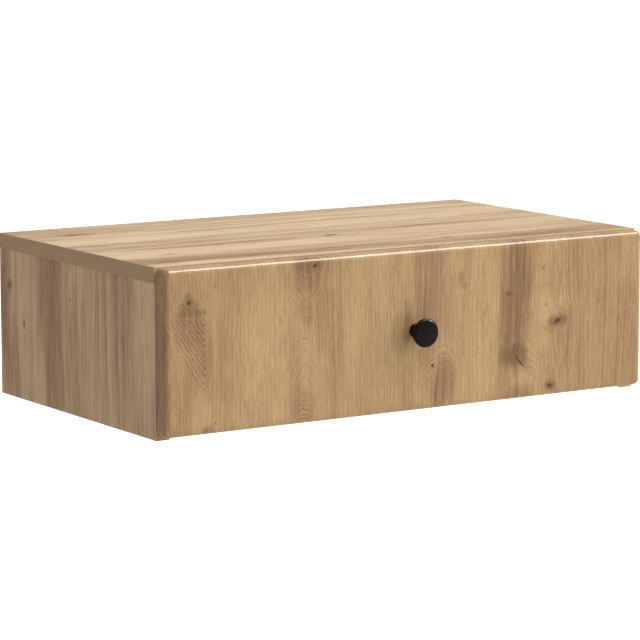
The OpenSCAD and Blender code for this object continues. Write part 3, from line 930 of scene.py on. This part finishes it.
@dataclass
class OakFace:
    """The grain of one face of a board, drawn in a material.

    Attributes:
        tree: the material's nodes.
        across: the place across the grain, in metres.
        along: the place along the grain, in metres.
        depth: a slow value that makes other faces of the board differ.
        figure: the knots, stains and arches on the face.
        tone: the decor's colours.
    """

    tree: bpy.types.NodeTree
    across: Wire
    along: Wire
    depth: Wire
    figure: Figure
    tone: Tone

    def knots(self, wandering: Wire, ragged: Wire) -> tuple[Value, Value, Value]:
        """Draws the knots.

        Args:
            wandering: the place across the grain, with the grain's wander.
            ragged: the noise of their rims.

        Returns:
            How far they push the grain aside, and the masks of their cores and halos.
        """
        shift: Value = 0.0
        core: Value = 0.0
        halo: Value = 0.0
        for knot in self.figure.knots:
            made = use(self.tree, knot_effect(), across=wandering, along=self.along, ragged=ragged,
                       tilt=knot.tilt, push=knot.push, **in_metres(knot, OVAL_LENGTHS))
            shift = made["push"] + shift
            core = (made["core"] * knot.strength).most(core)
            halo = (made["halo"] * knot.halo).most(halo)
        return shift, core, halo

    def lines(self, bent: Wire, uneven: dict[str, Wire]) -> tuple[Wire, Wire, Value]:
        """Draws the growth lines: even ones, and the arches over them.

        Args:
            bent: the place across the grain, bent round the knots.
            uneven: the noises of the face.

        Returns:
            How dark the lines are, how pale their edges are, and where the arches are.
        """
        tone = self.tone
        quick_swing = 1.6
        edge_share = 0.6
        slow = Noise((9.0, 1.3, 1.0), layer=31.0, detail=1.0).at(bent, self.along, self.depth)
        quick = Noise((60.0, 8.0, 1.0), layer=37.0, detail=1.0).at(bent, self.along, self.depth)
        level = bent * tone.lines_per_metre + slow * tone.swing + quick * quick_swing
        drawn = use(self.tree, line_effect(), level=level, fineness=1.0)
        line = drawn["dark"] * tone.line
        edge = drawn["pale"] * (tone.line * edge_share)
        calm: Value = 0.0
        for arch in self.figure.arches:
            shape = {name: getattr(arch, name) for name in ARCH_SHAPE}
            made = use(self.tree, arch_effect(), across=bent, along=self.along, wobble=uneven["wobble"],
                       patchy=uneven["patchy"], **in_metres(arch, ARCH_LENGTHS), **shape)
            fineness = max(1.0, arch.spacing / LINE_STEP)
            drawn = use(self.tree, line_effect(), level=made["level"], fineness=fineness)
            strength = tone.figure_line * arch.strength
            line = blend(made["mask"], line, drawn["dark"] * strength)
            edge = blend(made["mask"], edge, drawn["pale"] * strength)
            calm = made["mask"].most(calm)
        return line, edge, calm

    def stains(self, stains: Sequence[Stain], bent: Wire, uneven: dict[str, Wire]) -> Value:
        """Draws stains of one kind.

        Args:
            stains: the stains.
            bent: the place across the grain, bent round the knots.
            uneven: the noises of the face.

        Returns:
            Their mask.
        """
        mask: Value = 0.0
        for stain in stains:
            noise = uneven["spot" if stain.half_length < SPOT_LENGTH else "band"]
            made = use(self.tree, stain_effect(), across=bent, along=self.along, uneven=noise,
                       **in_metres(stain, OVAL_LENGTHS))
            mask = (made["mask"] * stain.strength).most(mask)
        return mask

    def draw(self) -> dict[str, Wire]:
        """Draws the whole face.

        Returns:
            The outputs of the oak colour effect.
        """
        tone = self.tone
        start = {"along": self.along, "depth": self.depth}
        wandering = use(self.tree, wander_effect(), across=self.across, **start)["across"]
        uneven = use(self.tree, uneven_effect(), across=wandering, **start)
        shift, core, halo = self.knots(wandering, uneven["ragged"])
        bent = wandering - shift
        line, edge, calm = self.lines(bent, uneven)
        # The red and brown stains include painted shade on the front's left side and rim.
        red, pale, smudge = (self.stains(stains, bent, uneven) for stains in
                             (self.figure.reds, self.figure.pales, self.figure.smudges))
        fibre = (1.0 - calm * 0.5) * tone.fibre if self.figure.arches else tone.fibre
        return use(self.tree, oak_effect(), across=bent, along=self.along / tone.length, depth=self.depth,
                   line=line, edge=edge, breadth=tone.breadth, drift=tone.drift, broad=tone.broad,
                   narrow=tone.narrow, fibre=fibre, red=red, pale=pale, smudge=smudge, halo=halo, core=core,
                   **tone.colours())


class Finish(ABC):
    """What boards and fittings wear: a coating, and the patterns that are painted on it."""

    name: str
    roughness: float
    gloss: float = 0.5
    metallic: float = 0.0

    @abstractmethod
    def paint(self, coating: Coating) -> None:
        """Connects the finish's patterns to the coating's shader."""

    def material(self) -> bpy.types.Material:
        """Builds the material.

        Returns:
            The material.
        """
        coating = Coating(self.name, self.roughness, metallic=self.metallic, gloss=self.gloss)
        self.paint(coating)
        return coating.material


def darker(colour: Colour, share: float) -> Colour:
    """The colour with a share of it taken away."""
    return tuple(part * (1.0 - share) for part in colour)


@dataclass(frozen=True)
class OakBoard(Finish):
    """A chipboard with oak laminate on both faces and raw chips on its open edges.

    The grain changes through the board's thickness, so its faces differ, and the seed
    makes boards of one decor differ. Relief is in millimetres.
    """

    name: str
    tone: Tone
    grain: Axis
    width: Axis
    thickness: Axis
    figure: Figure = field(default_factory=Figure)
    seed: float = 0.0
    roughness: float = 0.56
    gloss: float = 0.12
    relief: float = 0.05
    change_through: float = 45.0
    raw_dullness: float = 0.35
    chip_height: float = 4.0

    def paint(self, coating: Coating) -> None:
        """Paints oak on the faces and chips on the open edges.

        Args:
            coating: what it is painted on.
        """
        place = coating.place()
        depth = place[self.thickness.value] * self.change_through + self.seed
        across, along = place[self.width.value], place[self.grain.value]
        wood = OakFace(coating.tree, across, along, depth, self.figure, self.tone).draw()
        chips = use(coating.tree, chipboard_effect(), x=place[0], y=place[1], z=place[2])
        raw = abs(coating.facing()[self.thickness.value]).below(0.5)
        coating.set("Base Color", tint(raw, wood["colour"], chips["colour"]))
        coating.set("Roughness", wood["dullness"] + raw * self.raw_dullness + self.roughness)
        coating.relief(blend(raw, wood["height"], chips["height"] * self.chip_height), self.relief * MM)


@dataclass(frozen=True)
class OakFoil(Finish):
    """Oak foil wrapped over a shaped board, drawn on the sheet before it was wrapped."""

    name: str
    tone: Tone
    figure: Figure
    roughness: float = 0.24
    gloss: float = 0.3
    relief: float = 0.022

    def paint(self, coating: Coating) -> None:
        """Paints oak by the places on the piece's own sheet.

        Args:
            coating: what it is painted on.
        """
        across, along, depth = coating.sheet()
        wood = OakFace(coating.tree, across, along, depth, self.figure, self.tone).draw()
        coating.set("Base Color", wood["colour"])
        coating.set("Roughness", wood["dullness"] + self.roughness)
        coating.relief(wood["height"], self.relief * MM)


@dataclass(frozen=True)
class EdgeBand(Finish):
    """A plain plastic edge band with a faint drawn texture along its length.

    Breadth is how many times broader its marks are than those on metal, contrast how much
    they darken it, and haze how much they dull it. Relief is in millimetres.
    """

    name: str
    colour: Colour
    run: Axis
    roughness: float = 0.5
    gloss: float = 0.12
    breadth: float = 2.0
    contrast: float = 0.05
    haze: float = 0.08
    relief: float = 0.012

    def paint(self, coating: Coating) -> None:
        """Paints marks along the band.

        Args:
            coating: what it is painted on.
        """
        place = coating.place()
        sideways, upwards = (place[axis.value] / self.breadth for axis in Axis if axis is not self.run)
        made = use(coating.tree, brushed_effect(), along=place[self.run.value], sideways=sideways,
                   upwards=upwards)
        shade = (made["marks"] + made["blotch"]) * self.contrast + (1.0 - self.contrast)
        coating.set("Base Color", dim(self.colour, shade))
        coating.set("Roughness", made["marks"] * self.haze + self.roughness)
        coating.relief(made["marks"], self.relief * MM)


@dataclass(frozen=True)
class Metal(Finish):
    """Rolled, plated or cast metal, with marks drawn along Y.

    Contrast is how much darker its blotches are, haze how much its marks dull it, and
    relief is in millimetres.
    """

    name: str
    colour: Colour
    roughness: float
    contrast: float = 0.12
    relief: float = 0.006
    haze: float = 0.06
    metallic: float = 1.0

    def paint(self, coating: Coating) -> None:
        """Paints marks along Y over slow blotches.

        Args:
            coating: what it is painted on.
        """
        x, y, z = coating.place()
        made = use(coating.tree, brushed_effect(), along=y, sideways=x, upwards=z)
        dull = made["marks"] * self.haze + made["blotch"] * (self.haze / 2.0)
        coating.set("Base Color", tint(made["blotch"], self.colour, darker(self.colour, self.contrast)))
        coating.set("Roughness", dull + self.roughness)
        coating.relief(made["marks"], self.relief * MM)


@dataclass(frozen=True)
class Textured(Finish):
    """Paint, melamine, rubber or moulding: a nearly even colour with a fine texture.

    Grain size and relief are in millimetres.
    """

    name: str
    colour: Colour
    second: Colour
    roughness: float
    grain_size: float = 0.4
    relief: float = 0.01
    transmission: float = 0.0
    gloss: float = 0.5
    haze: float = 0.08

    def paint(self, coating: Coating) -> None:
        """Paints a fine texture between two colours.

        Args:
            coating: what it is painted on.
        """
        x, y, z = coating.place()
        made = use(coating.tree, speckle_effect(), x=x, y=y, z=z, size=self.grain_size * MM)
        coating.set("Base Color", tint(made["fine"] * 0.5 + made["slow"] * 0.5, self.colour, self.second))
        coating.set("Roughness", made["fine"] * self.haze + self.roughness)
        coating.set("Transmission Weight", self.transmission)
        coating.relief(made["fine"], self.relief * MM)


@dataclass(frozen=True)
class Hardboard(Finish):
    """Thin hardboard, painted on one face and brown fibre on the other and on its edges.

    The paint axis and sign tell which way the painted face looks. The two sizes of the
    texture and the relief are in millimetres.
    """

    name: str
    painted: Colour
    fibre: Colour
    paint_axis: Axis
    paint_sign: float
    roughness: float = 0.5
    fine_size: float = 0.5
    coarse_size: float = 2.2
    fine_share: float = 0.55
    fibre_contrast: float = 0.38
    paint_contrast: float = 0.07
    bare_dullness: float = 0.25
    bare_relief: float = 3.0
    haze: float = 0.05
    relief: float = 0.012

    def paint(self, coating: Coating) -> None:
        """Paints one face, and brown fibre elsewhere.

        Args:
            coating: what it is painted on.
        """
        x, y, z = coating.place()
        fine, coarse = (use(coating.tree, speckle_effect(), x=x, y=y, z=z, size=size * MM)["fine"]
                        for size in (self.fine_size, self.coarse_size))
        mixed = fine * self.fine_share + coarse * (1.0 - self.fine_share)
        brown = tint(mixed, self.fibre, darker(self.fibre, self.fibre_contrast))
        paint = tint(coarse, self.painted, darker(self.painted, self.paint_contrast))
        bare = (coating.facing()[self.paint_axis.value] * self.paint_sign).below(0.5)
        coating.set("Base Color", tint(bare, paint, brown))
        coating.set("Roughness", bare * self.bare_dullness + fine * self.haze + self.roughness)
        coating.relief(fine * (bare * self.bare_relief + 1.0), self.relief * MM)


WHITE = (0.80, 0.79, 0.765)
TAUPE = (0.480, 0.325, 0.190)
HONEY_BAND = (0.640, 0.455, 0.255)
OAK_BAND = (0.545, 0.375, 0.225)
BROWN_FIBRE = (0.32, 0.19, 0.105)
ZINC = Metal("bright zinc", (0.66, 0.68, 0.70), roughness=0.30)
CAST = Metal("die-cast alloy", (0.58, 0.58, 0.59), roughness=0.48, contrast=0.2)
RUNNER = Metal("zinc plated sheet", (0.56, 0.57, 0.59), roughness=0.36, contrast=0.03, relief=0.0012)
CHROME = Metal("polished ball", (0.78, 0.78, 0.79), roughness=0.08, contrast=0.04, relief=0.001)
MELAMINE = Textured("white melamine", WHITE, (0.74, 0.73, 0.70), roughness=0.42, grain_size=0.5, relief=0.012)
BEECH = Textured("beech dowel", (0.66, 0.45, 0.26), (0.52, 0.33, 0.18), roughness=0.6, grain_size=0.9,
                 relief=0.03)
KNOB_BLACK = Textured("black powder coat", (0.008, 0.0045, 0.0045), (0.006, 0.0035, 0.0035), roughness=0.20,
                      grain_size=0.35, relief=0.003, gloss=0.12)
RUBBER = Textured("clear rubber", (0.82, 0.82, 0.79), (0.74, 0.74, 0.71), roughness=0.35, grain_size=0.5,
                  relief=0.004, transmission=0.6)


def dress(finish: Finish, *names: str) -> None:
    """Gives CAD nodes a finish.

    Args:
        finish: what makes the material.
        names: the nodes that wear it.
    """
    material = finish.material()
    for name in names:
        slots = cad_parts[name].data.materials
        slots.clear()
        slots.append(material)
        LOG.info("%s wears %s", name, material.name)


def sides(*names: str) -> tuple[str, ...]:
    """Each name for the left and for the right."""
    return tuple(f"{name}_{side}" for name in names for side in ("left", "right"))


# Points of a mesh that are closer than this become one, and edges shorter than the second length go.
SAME_POINT = 0.001 * MM
NO_EDGE = 0.0001 * MM
# Faces that meet at more than this angle have a sharp edge between them.
SHARP_ANGLE = math.radians(40)


def weld(name: str, patches: Sequence[tuple[np.ndarray, np.ndarray, int]],
         materials: Sequence[bpy.types.Material]) -> bpy.types.Object:
    """Joins grids of points into one closed mesh.

    Args:
        name: the piece's name.
        patches: for each grid its points (rows, columns, 3), its place on the unrolled
            sheet (rows, columns, 2), and the number of its material.
        materials: the piece's materials.

    Returns:
        The object, with doubles merged and faces pointing outwards.
    """
    points, corners, sheets, owners = [], [], [], []
    start = 0
    for grid, sheet, owner in patches:
        rows, columns = grid.shape[:2]
        index = start + np.arange(rows * columns).reshape(rows, columns)
        quads = np.stack([index[:-1, :-1], index[1:, :-1], index[1:, 1:], index[:-1, 1:]], -1).reshape(-1, 4)
        points.append(grid.reshape(-1, 3))
        sheets.append(sheet.reshape(-1, 2))
        corners.append(quads)
        owners.append(np.full(len(quads), owner))
        start += rows * columns
    quads = np.concatenate(corners)
    mesh = bpy.data.meshes.new(name)
    mesh.from_pydata(np.concatenate(points), [], quads)
    layer = mesh.uv_layers.new(name="sheet")
    layer.data.foreach_set("uv", np.concatenate(sheets)[quads.ravel()].ravel())
    mesh.polygons.foreach_set("material_index", np.concatenate(owners).astype(np.int32))
    edit = bmesh.new()
    edit.from_mesh(mesh)
    bmesh.ops.remove_doubles(edit, verts=edit.verts, dist=SAME_POINT)
    bmesh.ops.dissolve_degenerate(edit, edges=edit.edges, dist=NO_EDGE)
    bmesh.ops.recalc_face_normals(edit, faces=edit.faces)
    edit.to_mesh(mesh)
    edit.free()
    mesh.shade_smooth()
    mesh.set_sharp_from_angle(angle=SHARP_ANGLE)
    for material in materials:
        mesh.materials.append(material)
    piece = bpy.data.objects.new(name, mesh)
    bpy.context.scene.collection.objects.link(piece)
    return piece


@dataclass
class Carcass:
    """The box on the wall: its boards, bands, back and corner fittings."""

    top: OakBoard = OakBoard("top laminate", TOP_LAMINATE, Axis.X, Axis.Y, Axis.Z, TOP_FIGURE)
    left: OakBoard = OakBoard("left side laminate", SIDE_LAMINATE, Axis.Z, Axis.Y, Axis.X, SIDE_FIGURE,
                              seed=20.0)
    right: OakBoard = OakBoard("right side laminate", SIDE_LAMINATE, Axis.Z, Axis.Y, Axis.X, seed=5.0)
    bottom: OakBoard = OakBoard("bottom laminate", SIDE_LAMINATE, Axis.X, Axis.Y, Axis.Z, seed=9.0)
    rail: OakBoard = OakBoard("rail laminate", SIDE_LAMINATE, Axis.X, Axis.Z, Axis.Y, seed=13.0)
    back: Hardboard = Hardboard("back hardboard", WHITE, BROWN_FIBRE, Axis.Y, paint_sign=-1.0)

    def build(self) -> None:
        """Dresses every node of the carcass."""
        dress(self.top, "top_panel")
        dress(self.left, "side_panel_left")
        dress(self.right, "side_panel_right")
        dress(self.bottom, "bottom_panel")
        dress(self.rail, "mounting_rail")
        dress(self.back, "back_panel")
        dress(EdgeBand("taupe band along Y", TAUPE, Axis.Y), *sides("top_band"))
        dress(EdgeBand("honey band along X", HONEY_BAND, Axis.X), "top_band_front")
        dress(EdgeBand("oak band along Z", OAK_BAND, Axis.Z), *sides("side_front_band"))
        dress(EdgeBand("oak band along Y", OAK_BAND, Axis.Y), *sides("side_lower_band"))
        dress(EdgeBand("oak band along X", OAK_BAND, Axis.X), "bottom_front_band")
        dress(CAST, "cam_locks")
        dress(BEECH, "carcass_dowels")
        dress(ZINC, "back_panel_screws", "cam_bolts", "runner_outer_screws", "drawer_box_screws",
              "front_fixing_screws", "runner_inner_screws", "knob_screw", "knob_washer")


@dataclass
class Runners:
    """The two ball-bearing runners."""

    sheet: Metal = RUNNER
    ball: Metal = CHROME

    def build(self) -> None:
        """Dresses the members, cages and balls."""
        dress(self.sheet, *sides("runner_outer", "runner_middle", "runner_inner", "outer_cage", "inner_cage"))
        dress(self.ball, *sides("outer_balls", "inner_balls"))


@dataclass
class DrawerFront:
    """The front: a board with round corners and a round rim, wrapped in oak foil.

    Support is how far the first row of points on the flat lies from the rim, which keeps
    the flat shaded flat.
    """

    radius: float = 7.0 * MM
    round_steps: int = 14
    side_steps: int = 3
    flat_steps: int = 36
    support: float = 0.6 * MM
    foil: OakFoil = OakFoil("oak foil", FOIL, FRONT_FIGURE)

    def samples(self, half_core: float, edge: np.ndarray) -> np.ndarray:
        """Places along one way of the sheet: evenly spaced on the flat, then at the edge's arc lengths.

        Args:
            half_core: half the length of the flat part.
            edge: arc lengths past the flat part, rising from above nought.

        Returns:
            The places from one end of the sheet to the other.
        """
        flat = np.linspace(self.support - half_core, half_core - self.support, self.flat_steps)
        return np.concatenate([-(half_core + edge[::-1]), [-half_core], flat, [half_core], half_core + edge])

    def wrap(self, half_x: float, half_z: float, edge: np.ndarray,
             profile: Callable[[np.ndarray], tuple[np.ndarray, np.ndarray]]) -> tuple[np.ndarray, np.ndarray]:
        """Wraps a flat sheet over the board.

        A point (a, b) of the sheet lies past the flat part by ea and eb. Its arc length
        past the flat is the larger of the two, and it goes out from the corner of the flat
        part at an angle that runs from 0 where eb is 0, through 45 degrees where they are
        equal, to 90 degrees where ea is 0.

        Args:
            half_x: half the flat part's width.
            half_z: half the flat part's height.
            edge: arc lengths past the flat part.
            profile: gives reach sideways and depth for an arc length.

        Returns:
            The points and their places on the sheet.
        """
        a, b = np.meshgrid(self.samples(half_x, edge), self.samples(half_z, edge), indexing="ij")
        ea = np.maximum(np.abs(a) - half_x, 0.0)
        eb = np.maximum(np.abs(b) - half_z, 0.0)
        arc = np.maximum(ea, eb)
        safe = np.where(arc > 0.0, arc, 1.0)
        turn = np.where(ea >= eb, eb / safe, 2.0 - ea / safe) * math.pi / 4.0
        reach, depth = profile(arc)
        x = np.sign(a) * (np.minimum(np.abs(a), half_x) + reach * np.cos(turn) * (ea > 0.0))
        z = np.sign(b) * (np.minimum(np.abs(b), half_z) + reach * np.sin(turn) * (eb > 0.0))
        return np.stack([x, depth, z], -1), np.stack([a, b], -1)

    def build(self) -> None:
        """Makes the front and puts it in the place of its node.

        One sheet is wrapped over the face, the round rim and the sides, and another one lies
        flat on the rear, with the same points along its edge.
        """
        low, high = (np.array(corner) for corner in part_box("drawer_front"))
        half_x, _, half_z = (high - low) / 2.0 - self.radius
        middle = np.array([(low[0] + high[0]) / 2.0, 0.0, (low[2] + high[2]) / 2.0])
        quarter = math.pi / 2.0 * self.radius
        straight = high[1] - low[1] - self.radius
        edge = np.concatenate([
            np.linspace(0.0, quarter, self.round_steps + 1)[1:],
            quarter + np.linspace(0.0, straight, self.side_steps + 1)[1:],
        ])

        def over_rim(arc: np.ndarray) -> tuple[np.ndarray, np.ndarray]:
            """A quarter circle from the face to the side, then straight back.

            Args:
                arc: arc lengths past the flat part.

            Returns:
                How far each lies sideways of the flat part, and its depth.
            """
            angle = np.minimum(arc, quarter) / self.radius
            depth = low[1] + self.radius * (1.0 - np.cos(angle)) + np.maximum(arc - quarter, 0.0)
            return self.radius * np.sin(angle), depth

        def flat_back(arc: np.ndarray) -> tuple[np.ndarray, np.ndarray]:
            """The flat rear face."""
            return arc, np.full_like(arc, high[1])

        face, sheet = self.wrap(half_x, half_z, edge, over_rim)
        rear, rear_sheet = self.wrap(half_x, half_z, edge / edge[-1] * self.radius, flat_back)
        # The marks of the face are placed in the frame, so its sheet counts from the frame's origin.
        sheet = sheet + middle[[Axis.X.value, Axis.Z.value]]
        piece = weld("drawer_front_foil", [(face + middle, sheet, 0), (rear + middle, rear_sheet, 1)],
                     [self.foil.material(), MELAMINE.material()])
        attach(piece, "drawer")
        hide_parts("drawer_front")
        LOG.info("%s: %d faces", piece.name, len(piece.data.polygons))


@dataclass
class Knob:
    """The round knob: a foot, a waist and a nearly flat head with a rounded rim.

    Out is how far it stands out. Head, foot and waist are radii, rim is the thickness of
    the head, crown how far its face bulges, and the two rounds are the radii of its edges.
    """

    out: float = 23.0 * MM
    head: float = 15.0 * MM
    foot: float = 7.5 * MM
    waist: float = 5.8 * MM
    rim: float = 7.0 * MM
    rim_round: float = 2.6 * MM
    crown: float = 0.8 * MM
    foot_round: float = 0.6 * MM
    arc_steps: int = 12
    turns: int = 96

    def outline(self) -> np.ndarray:
        """Half the outline, from the middle of the foot to the middle of the face.

        The edge of the foot and both edges of the rim are quarter circles. Between foot and
        rim the outline is two quarter ellipses, which meet at the waist. On the face it is a
        parabola, which falls with the square of the distance from the axis.

        Returns:
            Points (distance from the axis, distance from the drawer front).
        """
        turn = np.linspace(0.0, math.pi / 2.0, self.arc_steps + 1)
        sine, rest = np.sin(turn), 1.0 - np.cos(turn)
        share = np.linspace(1.0, 0.0, self.arc_steps + 1)
        neck = self.out - self.rim
        middle = neck / 2.0
        centre = self.head - self.rim_round
        foot, slope, spread, lower, upper, dome = (np.stack(stretch, -1) for stretch in (
            (self.foot - self.foot_round + self.foot_round * sine, self.foot_round * rest),
            (self.waist + (self.foot - self.waist) * (1.0 - sine),
             self.foot_round + (middle - self.foot_round) * rest),
            (self.waist + (centre - self.waist) * rest, middle * (1.0 + sine)),
            (centre + self.rim_round * sine, neck + self.rim_round * rest),
            (centre + self.rim_round * np.cos(turn), self.out - self.crown - self.rim_round * (1.0 - sine)),
            (centre * share, self.out - self.crown * share ** 2.0),
        ))
        return np.concatenate([[[0.0, 0.0]], foot, slope[1:], spread[1:], lower[1:], upper, dome[1:]])

    def build(self) -> None:
        """Turns the outline about the knob's axis and puts it in the place of its node.

        At each angle x and z are the distance from the axis times the angle's cosine and sine.
        """
        low, high = (np.array(corner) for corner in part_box("knob"))
        middle = (low + high) / 2.0
        angle = np.linspace(0.0, 2.0 * math.pi, self.turns + 1)
        radius, out = self.outline().T[:, :, None]
        x = middle[0] + radius * np.cos(angle)
        y = low[1] + self.out - out
        z = middle[2] + radius * np.sin(angle)
        shell = np.stack(np.broadcast_arrays(x, y, z), -1)
        sheet = np.stack(np.broadcast_arrays(radius * angle, out), -1)
        piece = weld("knob_turned", [(shell, sheet, 0)], [KNOB_BLACK.material()])
        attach(piece, "drawer")
        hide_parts("knob")
        LOG.info("%s: %d faces", piece.name, len(piece.data.polygons))


@dataclass
class Drawer:
    """The drawer: its box, bottom, front, knob and rubber dots."""

    front: DrawerFront = field(default_factory=DrawerFront)
    knob: Knob = field(default_factory=Knob)
    tray: Hardboard = Hardboard("tray hardboard", WHITE, BROWN_FIBRE, Axis.Z, paint_sign=1.0)

    def build(self) -> None:
        """Dresses the box and builds the shaped pieces."""
        dress(MELAMINE, "drawer_box_front", "drawer_back", *sides("drawer_side"))
        dress(self.tray, "drawer_bottom")
        dress(RUBBER, "front_bumpers")
        self.front.build()
        self.knob.build()


@dataclass(frozen=True)
class Lamp:
    """An oblong lamp, with its two sizes in metres."""

    name: str
    size: tuple[float, float]

    def hang(self, power: float, place: Sequence[float], turn: Sequence[float]) -> bpy.types.Object:
        """Hangs the lamp.

        Args:
            power: how much light it gives, in watts.
            place: where its middle is.
            turn: how far it turns about each axis from facing down, in radians.

        Returns:
            The lamp.
        """
        light = bpy.data.lights.new(self.name, "AREA")
        light.shape = "RECTANGLE"
        light.size, light.size_y = self.size
        light.energy = power
        lamp = bpy.data.objects.new(self.name, light)
        lamp.location = place
        lamp.rotation_euler = turn
        bpy.context.scene.collection.objects.link(lamp)
        return lamp


@dataclass(frozen=True)
class SoftLamp(Lamp):
    """A lamp that lights the table and doesn't show in reflections.

    Way points from the table towards the lamp, and level is how bright the lamp makes a
    white surface that faces it.
    """

    way: tuple[float, float, float]
    distance: float
    level: float
    table_middle: tuple[float, float, float] = (0.0, -0.17, 0.0)

    def build(self) -> None:
        """Hangs the lamp at its distance, facing the middle of the table."""
        direction = np.array(self.way) / np.linalg.norm(self.way)
        power = self.level * math.pi ** 2 * self.distance ** 2
        turn_z = math.atan2(direction[1], direction[0]) + math.pi / 2.0
        lamp = self.hang(power, direction * self.distance + np.array(self.table_middle),
                         (math.acos(direction[2]), 0.0, turn_z))
        lamp.visible_glossy = False


@dataclass(frozen=True)
class StripLamp(Lamp):
    """A lamp that shows only in reflections, as a bright line on round edges.

    Glow is how bright it is to look at, tilt how many degrees it turns from facing down
    towards facing left, and only_on the one piece that it lights, if not all, as with a
    snoot in a studio.
    """

    place: tuple[float, float, float]
    glow: float
    tilt: float = 0.0
    only_on: str = ""

    def build(self) -> None:
        """Hangs the lamp, and keeps its light to its piece."""
        width, height = self.size
        power = self.glow * math.pi * width * height
        lamp = self.hang(power, self.place, (0.0, math.radians(self.tilt), 0.0))
        lamp.visible_diffuse = False
        if self.only_on:
            lit = bpy.data.collections.new(f"lit by {self.name}")
            lit.objects.link(bpy.data.objects[self.only_on])
            lamp.light_linking.receiver_collection = lit


@dataclass
class Studio:
    """A pale floor, soft lamps, a white surround and the camera.

    Angles are in degrees, and the sensor and the lens in millimetres. Sight is how far the
    camera sees, ambient how strongly the surround lights the table, and mirrored how
    strongly reflections show it.
    """

    camera_place: tuple[float, float, float] = (-1.8071, -2.9794, 0.4620)
    camera_yaw: float = 32.749
    camera_pitch: float = 8.570
    sensor: float = 36.0
    lens: float = 175.55
    sight: float = 100.0
    floor_drop: float = 0.35
    floor_size: float = 60.0
    floor_colour: Colour = (0.80, 0.80, 0.79)
    floor_roughness: float = 0.9
    floor_glow: float = 0.80
    ambient: float = 0.375
    mirrored: float = 0.2
    lamps: tuple[Union[SoftLamp, StripLamp], ...] = (
        SoftLamp("key", (4.7, 4.7), way=(0.95, -0.65, 0.73), distance=4.2, level=0.82),
        SoftLamp("overhead", (2.0, 0.8), way=(-0.05, -0.20, 1.0), distance=2.0, level=0.26),
        StripLamp("upper strip", (1.6, 1.1), place=(1.4, -0.95, 2.05), glow=20.0),
        StripLamp("glint", (0.8, 0.8), place=(4.63, -3.51, 2.15), glow=320.0, tilt=65.0,
                  only_on="knob_turned"),
        StripLamp("right strip", (2.0, 2.0), place=(2.6, 0.60, -0.30), glow=1.5, tilt=90.0),
        SoftLamp("back fill", (2.0, 2.0), way=(0.3, 0.9, 0.35), distance=3.0, level=0.22),
    )

    def camera(self) -> None:
        """Puts the camera where the photograph was taken from."""
        lens = bpy.data.cameras.new("camera")
        lens.lens = self.lens
        lens.sensor_width = self.sensor
        lens.clip_end = self.sight
        view = bpy.data.objects.new("camera", lens)
        view.location = self.camera_place
        view.rotation_euler = (math.radians(90.0 - self.camera_pitch), 0.0, math.radians(-self.camera_yaw))
        bpy.context.scene.collection.objects.link(view)
        bpy.context.scene.camera = view

    def seen(self, tree: bpy.types.NodeTree) -> Wire:
        """Tells the rays that show the surround itself from those that bring its light.

        Args:
            tree: the material's or the world's nodes.

        Returns:
            1 for what the camera sees, through clear pieces too, the mirrored share for
            reflections, and 0 for light.
        """
        rays = tree.nodes.new("ShaderNodeLightPath").outputs
        kinds = ("Is Camera Ray", "Is Transmission Ray", "Is Glossy Ray")
        camera, clear, glossy = (Wire(tree, rays[kind]) for kind in kinds)
        return camera.most(clear).most(glossy * self.mirrored)

    def surround(self) -> None:
        """Makes the world white to look at, and weaker as a light."""
        world = bpy.data.worlds.new("surround")
        world.use_nodes = True
        bpy.context.scene.world = world
        background = world.node_tree.nodes["Background"]
        background.inputs["Color"].default_value = (1.0, 1.0, 1.0, 1.0)
        plug(self.seen(world.node_tree) * (1.0 - self.ambient) + self.ambient, background.inputs["Strength"])

    def floor(self) -> None:
        """Lays the floor, which keeps a soft shadow, glows a little and is clear from below."""
        half = self.floor_size / 2.0
        z = CAD_BOX[0][2] - self.floor_drop
        mesh = bpy.data.meshes.new("floor")
        mesh.from_pydata([(-half, -half, z), (half, -half, z), (half, half, z), (-half, half, z)], [],
                         [(0, 1, 2, 3)])
        coating = Coating("pale floor", self.floor_roughness, colour=self.floor_colour)
        coating.set("Emission Color", (1.0, 1.0, 1.0))
        coating.set("Emission Strength", self.seen(coating.tree) * self.floor_glow)
        side = coating.tree.nodes.new("ShaderNodeNewGeometry")
        coating.set("Alpha", 1.0 - Wire(coating.tree, side.outputs["Backfacing"]))
        mesh.materials.append(coating.material)
        piece = bpy.data.objects.new("floor", mesh)
        bpy.context.scene.collection.objects.link(piece)

    def build(self) -> None:
        """Sets up everything round the table."""
        bpy.context.scene.view_settings.view_transform = "Standard"
        self.camera()
        self.surround()
        self.floor()
        for lamp in self.lamps:
            lamp.build()


def main() -> None:
    """Builds the table's parts and then the studio round them."""
    logging.basicConfig(level=logging.INFO, format="%(message)s")
    for part in (Carcass(), Runners(), Drawer(), Studio()):
        part.build()
        LOG.info("%s done", type(part).__name__)


if __name__ == "__main__":
    main()
